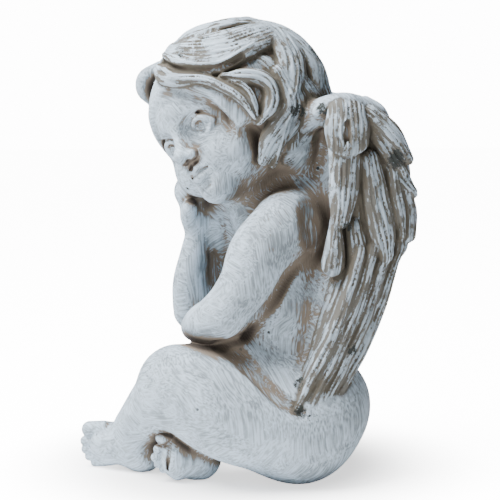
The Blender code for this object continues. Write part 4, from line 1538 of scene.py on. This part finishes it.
    @staticmethod
    def _store_rows(mesh: bpy.types.Mesh, name: str, rows: np.ndarray) -> None:
        """Keep a place or a way at each corner under a name."""
        flat = rows.astype(np.float32).ravel()
        mesh.attributes.new(name, "FLOAT_VECTOR", "POINT").data.foreach_set("vector", flat)

    def _settle(self, mesh: bpy.types.Mesh, low: Vector, high: Vector) -> None:
        """Bring the mesh into the frame's box.

        Args:
            mesh: the mesh, in clay units.
            low, high: corners of the box.
        """
        corners = self._corners(mesh)
        own_low, own_high = Vector(corners.min(axis=0)), Vector(corners.max(axis=0))
        size = (high.z - low.z) / (own_high.z - own_low.z)
        middle = (own_low + own_high) / 2.0
        target = (low + high) / 2.0
        mesh.transform(Matrix.Translation((target.x, target.y, low.z)) @ Matrix.Scale(size, 4)
                       @ Matrix.Translation((-middle.x, -middle.y, -own_low.z)))


# Shader sums

class Wire:
    """A shader value that can be used in sums."""

    def __init__(self, kit: "NodeKit", socket: bpy.types.NodeSocket) -> None:
        self.kit = kit
        self.socket = socket

    def __add__(self, other: "Wire | float") -> "Wire":
        """This value and another."""
        return self.kit.math("ADD", self, other)

    def __sub__(self, other: "Wire | float") -> "Wire":
        """This value less another."""
        return self.kit.math("SUBTRACT", self, other)

    def __rsub__(self, other: float) -> "Wire":
        """A number less this value."""
        return self.kit.math("SUBTRACT", other, self)

    def __mul__(self, other: "Wire | float") -> "Wire":
        """This value times another."""
        return self.kit.math("MULTIPLY", self, other)

    __radd__ = __add__
    __rmul__ = __mul__

    def clamped(self) -> "Wire":
        """The value kept from 0 to 1."""
        return self.kit.math("ADD", self, 0.0, clamp=True)

    def between(self, low: float, high: float) -> "Wire":
        """A smooth step from 0 at the low value to 1 at the high one."""
        node = self.kit.node("ShaderNodeMapRange", {"interpolation_type": "SMOOTHSTEP"},
                             {"Value": self, "From Min": low, "From Max": high})
        return Wire(self.kit, node.outputs["Result"])


class NodeKit:
    """Makes and joins the nodes of one material."""

    def __init__(self, material: bpy.types.Material) -> None:
        """Open the material's nodes."""
        material.use_nodes = True
        self.tree = material.node_tree
        self.shader = self.tree.nodes["Principled BSDF"]

    def plug(self, socket: bpy.types.NodeSocket, value: object) -> None:
        """Join a wire to a socket, or set its constant."""
        if isinstance(value, Wire):
            self.tree.links.new(value.socket, socket)
        else:
            socket.default_value = value

    def node(self, kind: str, settings: dict[str, object] | None = None,
             inputs: dict[str | int, object] | None = None) -> bpy.types.Node:
        """Make a node.

        Args:
            kind: its type.
            settings: its properties.
            inputs: wires or constants for its sockets, by name or number.

        Returns:
            The node.
        """
        made = self.tree.nodes.new(kind)
        for name, value in (settings or {}).items():
            setattr(made, name, value)
        for name, value in (inputs or {}).items():
            self.plug(made.inputs[name], value)
        return made

    def math(self, operation: str, *values: "Wire | float", clamp: bool = False) -> Wire:
        """A sum of wires and numbers."""
        made = self.node("ShaderNodeMath", {"operation": operation, "use_clamp": clamp},
                         dict(enumerate(values)))
        return Wire(self, made.outputs["Value"])

    def blend(self, share: Wire | float, low: object, high: object) -> Wire:
        """A colour between two."""
        made = self.node("ShaderNodeMix", {"data_type": "RGBA"}, {"Factor": share, 6: low, 7: high})
        return Wire(self, made.outputs[2])

    def place(self) -> Wire:
        """The place on the piece, in Object coordinates."""
        return Wire(self, self.node("ShaderNodeTexCoord").outputs["Object"])

    def attribute(self, name: str, output: str = "Fac") -> Wire:
        """A value stored at the piece's corners."""
        made = self.node("ShaderNodeAttribute", {"attribute_name": name})
        return Wire(self, made.outputs[output])

    def stretched(self, place: Wire, turn: Sequence[float], scale: Sequence[float],
                  shift: Sequence[float] = (0.0, 0.0, 0.0)) -> Wire:
        """A place seen in turned and stretched axes, for a pattern that runs one way."""
        made = self.node("ShaderNodeMapping", {"vector_type": "TEXTURE"},
                         {"Vector": place, "Location": shift, "Scale": scale,
                          "Rotation": tuple(math.radians(a) for a in turn)})
        return Wire(self, made.outputs["Vector"])

    def vector(self, operation: str, inputs: dict[str | int, object], output: str = "Vector") -> Wire:
        """A sum of places, or the number that comes of one."""
        made = self.node("ShaderNodeVectorMath", {"operation": operation}, inputs)
        return Wire(self, made.outputs[output])

    def along(self, facing: Wire, way: Sequence[float]) -> Wire:
        """How much a facing looks along a way, to either end."""
        return self.math("ABSOLUTE", self.vector("DOT_PRODUCT", {0: facing, 1: way}, "Value"))

    def warped(self, place: Wire, scale: float, reach: float) -> Wire:
        """A place pushed about by soft noise, for curved strokes."""
        made = self.node("ShaderNodeTexNoise", {"noise_dimensions": "3D"},
                         {"Vector": place, "Scale": scale, "Detail": 1.0})
        push = self.vector("SCALE", {0: Wire(self, made.outputs["Color"]), "Scale": reach})
        return self.vector("ADD", {0: place, 1: push})

    def cells(self, place: Wire, scale: float) -> Wire:
        """Distance to the nearest of scattered points."""
        made = self.node("ShaderNodeTexVoronoi", {"feature": "F1"}, {"Vector": place, "Scale": scale})
        return Wire(self, made.outputs["Distance"])

    def noise(self, place: Wire, scale: float, detail: float = 2.0, roughness: float = 0.5) -> Wire:
        """Soft noise from 0 to 1."""
        made = self.node("ShaderNodeTexNoise", {"noise_dimensions": "3D"},
                         {"Vector": place, "Scale": scale, "Detail": detail, "Roughness": roughness})
        return Wire(self, made.outputs["Fac"])


Colour = tuple[float, float, float, float]
WHITE: Colour = (1.0, 1.0, 1.0, 1.0)


@dataclass(frozen=True)
class Stroke:
    """A layer of brush strokes that run one way.

    Attributes:
        turn: its way, in degrees about X and Y from upright.
        patch: size of the areas that it covers, in clay units.
        cover: how much of the surface it covers.
    """

    turn: tuple[float, float]
    patch: float
    cover: float

    @property
    def way(self) -> Place:
        """The way that the strokes run."""
        turn = Euler((math.radians(self.turn[0]), math.radians(self.turn[1]), 0.0))
        return tuple(turn.to_matrix() @ Vector((0.0, 0.0, 1.0)))


@dataclass(frozen=True)
class Maps:
    """What the finish is mixed from, each a value over the piece's surface.

    Attributes:
        place: the place itself.
        streak: brush streaks, and strands where the surface is combed.
        strand, flake: strands and flakes along the locks and feathers; the dark strands are partly painted
            shade of their fine grooves.
        blotch, zone, speck: soft noise, broad, broadest and fine.
        fine: how hollow it is close by; it darkens the gaps between locks and feathers as painted shade.
        depth: how hollow it is over all; the finish darkens hollows by it, partly as the brown cast left
            unwashed and partly as painted shade.
        crest: how thin the form is there.
        chipped, rubbed_and_shaded: how near it is to a chip spot and to a rub spot; some rub spots are
            painted shade.
        combed: 1 on locks and feathers.
        flaking: how much of the wash has come off them.
    """

    place: Wire
    streak: Wire
    strand: Wire
    flake: Wire
    blotch: Wire
    zone: Wire
    speck: Wire
    fine: Wire
    depth: Wire
    crest: Wire
    chipped: Wire
    rubbed_and_shaded: Wire
    combed: Wire
    flaking: Wire


@dataclass(frozen=True)
class Whitewash:
    """Cool white wash dry-brushed over a brown cast and chipped to dark spots, with painted shade in its
    hollows, its fine grooves and some rub spots.

    Attributes:
        white, thin: the wash where it is thick and where it is thin.
        cast, deep: the brown cast where no wash lies, and the same cast darkened as painted shade in the
            deepest hollows.
        flaked_and_groove_shade: the cast of hair and feathers where the wash has come off, darkened partly
            as painted shade of their grooves.
        chip: the dark spots.
        strokes: layers of strokes, each over the ones before.
        bristle: width of one bristle's streak, in clay units.
        reach: length of a streak in bristle widths.
        roughness: how matt it all is.
        relief: height of the finish's own relief, in metres.
        unit: metres in a clay unit.
    """

    white: Colour = (0.54, 0.66, 0.78, 1.0)
    thin: Colour = (0.20, 0.238, 0.268, 1.0)
    cast: Colour = (0.19, 0.155, 0.12, 1.0)
    deep: Colour = (0.04, 0.031, 0.024, 1.0)
    flaked_and_groove_shade: Colour = (0.088, 0.080, 0.060, 1.0)
    chip: Colour = (0.030, 0.036, 0.033, 1.0)
    strokes: tuple[Stroke, ...] = (
        Stroke((4, 3), 30, 1.0), Stroke((-32, 38), 18, 0.5), Stroke((32, -38), 16, 0.5),
        Stroke((-43, 69), 15, 0.35), Stroke((43, -69), 15, 0.35),
    )
    bristle: float = 0.42
    reach: float = 46.0
    roughness: float = 0.8
    relief: float = 0.0005
    unit: float = 0.001

    def _streaks(self, kit: NodeKit, place: Wire, shift: float) -> Wire:
        """Fine curved streaks that run a different way from patch to patch, and lie along the surface.

        Args:
            kit: makes the nodes.
            place: the place on the piece.
            shift: how far the pattern is moved.

        Returns:
            The streaks, from 0 in the gaps to 1.
        """
        bent = kit.warped(place, 0.022 / self.unit, 16.0 * self.unit)
        facing = kit.attribute("facing", "Vector")
        total = across = None
        for number, stroke in enumerate(self.strokes):
            offset = (shift + 0.013 * number, 0.0, 0.007 * number)
            run = kit.noise(kit.stretched(bent, (*stroke.turn, 0.0), (1.0, 1.0, self.reach), offset),
                            0.5 / (self.bristle * self.unit), 1.0, 0.5)
            own = kit.along(facing, stroke.way).between(0.35, 0.9)
            if total is None:
                total, across = run, own
                continue
            area = kit.noise(kit.stretched(place, (0, 0, 0), (1.0, 1.0, 1.0), offset),
                             1.0 / (stroke.patch * self.unit), 2.0)
            edge = 0.5 + 0.22 * (0.5 - stroke.cover)
            share = (area + (run - 0.5) * 0.3 + (across - own) * 0.5).between(edge - 0.02, edge + 0.04)
            total = total + share * (run - total)
            across = across + share * (own - across)
        return total

    def _maps(self, kit: NodeKit) -> Maps:
        """Make all patterns, and read what is stored at the corners.

        Args:
            kit: makes the nodes.

        Returns:
            What the finish is mixed from.
        """
        place = kit.place()
        comb = kit.attribute("comb", "Vector")
        combed = kit.attribute("combed")
        lower = self._streaks(kit, place, 0.0)
        strand = kit.noise(kit.stretched(comb, (0, 0, 0), (1.0, 12.0, 0.27)), 0.85, 3.0, 0.65)
        fine = kit.attribute("recess_fine")
        crest = kit.attribute("crest")
        return Maps(
            place=place,
            streak=lower + combed * (strand - lower),
            strand=strand,
            flake=kit.noise(kit.stretched(comb, (0, 0, 0), (1.0, 4.0, 0.37)), 0.42, 4.0, 0.7),
            blotch=kit.noise(place, 0.11 / self.unit, 4.0, 0.65),
            zone=kit.noise(place, 0.028 / self.unit),
            speck=kit.noise(place, 0.9 / self.unit, 3.0, 0.7),
            fine=fine,
            depth=(fine * 0.7 + kit.attribute("recess_mid") * 0.75 + kit.attribute("recess_wide") * 0.55
                   - crest * 0.35),
            crest=crest,
            chipped=kit.attribute(Wear.CHIP.value),
            rubbed_and_shaded=kit.attribute(Wear.RUB_AND_SHADE.value),
            combed=combed,
            flaking=kit.attribute("flaking"),
        )

    @staticmethod
    def _bare_cast_and_shade(m: Maps) -> Wire:
        """Where the brown cast shows: between streaks, on rub spots and in hollows; in hollows it is partly
        unwashed cast and partly painted shade, and the rub spots on the shoulder and arm are painted shade.
        """
        amount = m.depth + (m.streak - 0.5) * -1.1 + (m.blotch - 0.5) * 0.7 + m.rubbed_and_shaded * 0.4
        return amount.between(0.50, 0.80)

    @staticmethod
    def _flaking_and_groove_shade(m: Maps) -> Wire:
        """How far the wash has come off the locks and feathers, with painted shade in their fine grooves
        and in the gaps between them; past about 0.5 the wash is gone.
        """
        return (m.flake * 0.9 + (0.5 - m.strand) * 0.75 + m.fine * 1.6 + (m.blotch - 0.5) * 1.2
                - m.crest * 0.25 + (m.flaking - 1.0) * 0.18 - 0.03)

    @staticmethod
    def _cover(m: Maps) -> Wire:
        """How thick the wash lies; it thins in hollows and on rub spots, partly as painted shade."""
        return (m.streak.between(0.28, 0.70) * 0.72 + (m.speck - 0.5) * 0.35 + (m.blotch - 0.5) * 0.7
                + (m.zone - 0.5) * 1.0 + m.crest * 0.35 - m.depth.between(0.15, 0.7) * 0.5 - m.rubbed_and_shaded * 0.25
                + 0.13).clamped()

    def _spots(self, kit: NodeKit, m: Maps) -> Wire:
        """Dark chips with ragged rims, and small dots."""
        near = 1.0 - kit.cells(m.place, 0.075 / self.unit).between(0.04, 0.075)
        dot = near * m.blotch.between(0.42, 0.6)
        crumb = kit.noise(m.place, 0.7 / self.unit, 4.0, 0.75)
        chip = m.chipped * 0.5 + crumb * 0.9 + m.combed * (m.flake - 0.5) * 0.8
        return (chip.between(0.86, 0.92) + dot).clamped()

    def material(self, name: str) -> bpy.types.Material:
        """Make the material.

        Args:
            name: its name.

        Returns:
            The material.
        """
        material = bpy.data.materials.new(name)
        kit = NodeKit(material)
        m = self._maps(kit)
        bare_cast_and_shade = self._bare_cast_and_shade(m)
        flaking_and_groove_shade = self._flaking_and_groove_shade(m)
        # Flaking of the wash on the locks and feathers, with painted shade in their grooves and gaps.
        wear_and_shade = m.combed * flaking_and_groove_shade.between(0.43, 0.53)
        # A dark line round each flaking patch, partly a mark of the paint and partly a painted shadow of
        # the paint's edge.
        edge = 1.0 - kit.math("ABSOLUTE", flaking_and_groove_shade - 0.42).between(0.01, 0.035)
        rim = m.combed * edge * m.blotch.between(0.40, 0.55)
        spots = self._spots(kit, m)
        wash = kit.blend(self._cover(m), self.thin, self.white)
        # Painted shade: the cast darkens further in the deepest hollows.
        cast = kit.blend(m.depth.between(0.7, 1.5), self.cast, self.deep)
        cast = kit.blend(wear_and_shade * 0.85, cast, self.flaked_and_groove_shade)
        colour = kit.blend((bare_cast_and_shade + wear_and_shade * 0.92).clamped(), wash, cast)
        colour = kit.blend((spots + rim * 0.7).clamped(), colour, self.chip)
        kit.plug(kit.shader.inputs["Base Color"], colour)
        kit.plug(kit.shader.inputs["Roughness"], self.roughness)
        kit.plug(kit.shader.inputs["Metallic"], 0.0)
        height = m.streak * 0.7 + m.blotch * 0.4 + m.speck * 0.2 - bare_cast_and_shade * 0.3 - wear_and_shade * 0.5 - spots * 0.6
        bump = kit.node("ShaderNodeBump", None,
                        {"Strength": 0.6, "Distance": self.relief, "Height": height})
        kit.plug(kit.shader.inputs["Normal"], Wire(kit, bump.outputs["Normal"]))
        return material


# The studio

@dataclass(frozen=True)
class Lamp:
    """A square soft light that looks at the figure.

    Attributes:
        name: its name.
        azimuth, elevation: the way to it from the figure, in degrees.
        distance: how far off it is.
        size: length of its side.
        power: its watts.
    """

    name: str
    azimuth: float
    elevation: float
    distance: float
    size: float
    power: float


@dataclass
class Studio:
    """A pale floor, soft light and the camera.

    Attributes:
        azimuth, elevation: the way to the camera from the figure, in degrees.
        distance, lens, aim: how far off the camera is, its lens and the place it looks at.
        lamps: the lights.
        sky_light, sky_shown: how strongly the sky lights the figure, and how bright it looks itself.
        floor_half: half the floor's side.
        paper, paper_roughness: the floor's colour and finish.
        paper_glow: how bright the floor looks far from the figure.
        shade: the floor's glow under the figure, dimmed as a painted shadow.
        shade_ends: how far from the middle the shade starts to fade and has faded.
    """

    azimuth: float = 85.0
    elevation: float = 6.5
    distance: float = 0.740
    lens: float = 113.9
    aim: Vector = field(default_factory=lambda: Vector((0.00055, 0.00448, 0.10193)))
    lamps: tuple[Lamp, ...] = (
        Lamp("key", 20.0, 58.0, 1.0, 0.6, 36.0),
        Lamp("fill", 75.0, 20.0, 1.5, 1.3, 0.6),
    )
    sky_light: float = 0.12
    sky_shown: float = 14.0
    floor_half: float = 3.0
    paper: Colour = (0.97, 0.97, 0.97, 1.0)
    paper_roughness: float = 0.9
    paper_glow: float = 13.0
    shade: Colour = (0.1, 0.1, 0.1, 1.0)
    shade_ends: tuple[float, float] = (0.05, 0.125)

    def build(self) -> None:
        """Make the floor, lights, sky and camera."""
        self._floor()
        for lamp in self.lamps:
            self._light(lamp)
        self._sky()
        self._camera()

    def _put(self, thing: bpy.types.Object, azimuth: float, elevation: float, distance: float) -> None:
        """Add a thing that looks at the aim from a way and distance.

        Args:
            thing: a light or the camera.
            azimuth, elevation: the way to it, in degrees.
            distance: how far off it is.
        """
        a, e = math.radians(azimuth), math.radians(elevation)
        way = Vector((math.sin(a) * math.cos(e), -math.cos(a) * math.cos(e), math.sin(e)))
        thing.location = self.aim + way * distance
        thing.rotation_euler = way.to_track_quat("Z", "Y").to_euler()
        bpy.context.collection.objects.link(thing)

    def _floor(self) -> None:
        """A wide pale floor that looks as white as the backdrop but for a painted shadow round the figure,
        where its glow is dimmed.
        """
        grid = bmesh.new()
        bmesh.ops.create_grid(grid, x_segments=1, y_segments=1, size=self.floor_half)
        mesh = bpy.data.meshes.new("floor")
        grid.to_mesh(mesh)
        grid.free()
        mesh.materials.append(self._paper())
        floor = bpy.data.objects.new("floor", mesh)
        bpy.context.collection.objects.link(floor)

    def _paper(self) -> bpy.types.Material:
        """The floor's material."""
        finish = bpy.data.materials.new("paper")
        kit = NodeKit(finish)
        kit.plug(kit.shader.inputs["Base Color"], self.paper)
        kit.plug(kit.shader.inputs["Roughness"], self.paper_roughness)
        kit.plug(kit.shader.inputs["Emission Strength"], self.paper_glow)
        away = kit.vector("LENGTH", {0: kit.place()}, "Value")
        glow = kit.blend(away.between(*self.shade_ends), self.shade, WHITE)
        kit.plug(kit.shader.inputs["Emission Color"], glow)
        plain = kit.node("ShaderNodeBsdfDiffuse", None, {"Color": self.paper})
        self._as_seen(kit.tree, plain, kit.shader, "Material Output")
        return finish

    def _light(self, lamp: Lamp) -> None:
        """Make a lamp's light."""
        data = bpy.data.lights.new(lamp.name, "AREA")
        data.size = lamp.size
        data.energy = lamp.power
        self._put(bpy.data.objects.new(lamp.name, data), lamp.azimuth, lamp.elevation, lamp.distance)

    @staticmethod
    def _as_seen(tree: bpy.types.NodeTree, light: bpy.types.Node, shown: bpy.types.Node, end: str) -> None:
        """Join one shader as what lights the rest, and another as what is looked at.

        Args:
            tree: the nodes they are in.
            light: what lights the rest.
            shown: what is looked at.
            end: name of the output node.
        """
        path = tree.nodes.new("ShaderNodeLightPath")
        mix = tree.nodes.new("ShaderNodeMixShader")
        tree.links.new(path.outputs["Is Camera Ray"], mix.inputs["Fac"])
        tree.links.new(light.outputs[0], mix.inputs[1])
        tree.links.new(shown.outputs[0], mix.inputs[2])
        tree.links.new(mix.outputs["Shader"], tree.nodes[end].inputs["Surface"])

    def _sky(self) -> None:
        """Even pale light from all round, and a white backdrop behind the figure."""
        world = bpy.data.worlds.new("studio")
        world.use_nodes = True
        tree = world.node_tree
        glows = (tree.nodes["Background"], tree.nodes.new("ShaderNodeBackground"))
        for glow, strength in zip(glows, (self.sky_light, self.sky_shown)):
            glow.inputs["Color"].default_value = WHITE
            glow.inputs["Strength"].default_value = strength
        self._as_seen(tree, *glows, "World Output")
        bpy.context.scene.world = world

    def _camera(self) -> None:
        """The camera, looking at the figure's left side."""
        data = bpy.data.cameras.new("camera")
        data.lens = self.lens
        camera = bpy.data.objects.new("camera", data)
        self._put(camera, self.azimuth, self.elevation, self.distance)
        bpy.context.scene.camera = camera


def main() -> None:
    """Build the piece, its finish and the studio, and keep the sizes."""
    logging.basicConfig(level=logging.INFO, format="%(message)s")
    casting = Casting(Figure().clay(), FINE_GRAIN)
    piece = casting.build("cherub_casting", "cherub")
    piece.data.materials.append(Whitewash().material("whitewashed_casting"))
    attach(piece, "root")
    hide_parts("cherub")
    Studio().build()


if __name__ == "__main__":
    main()
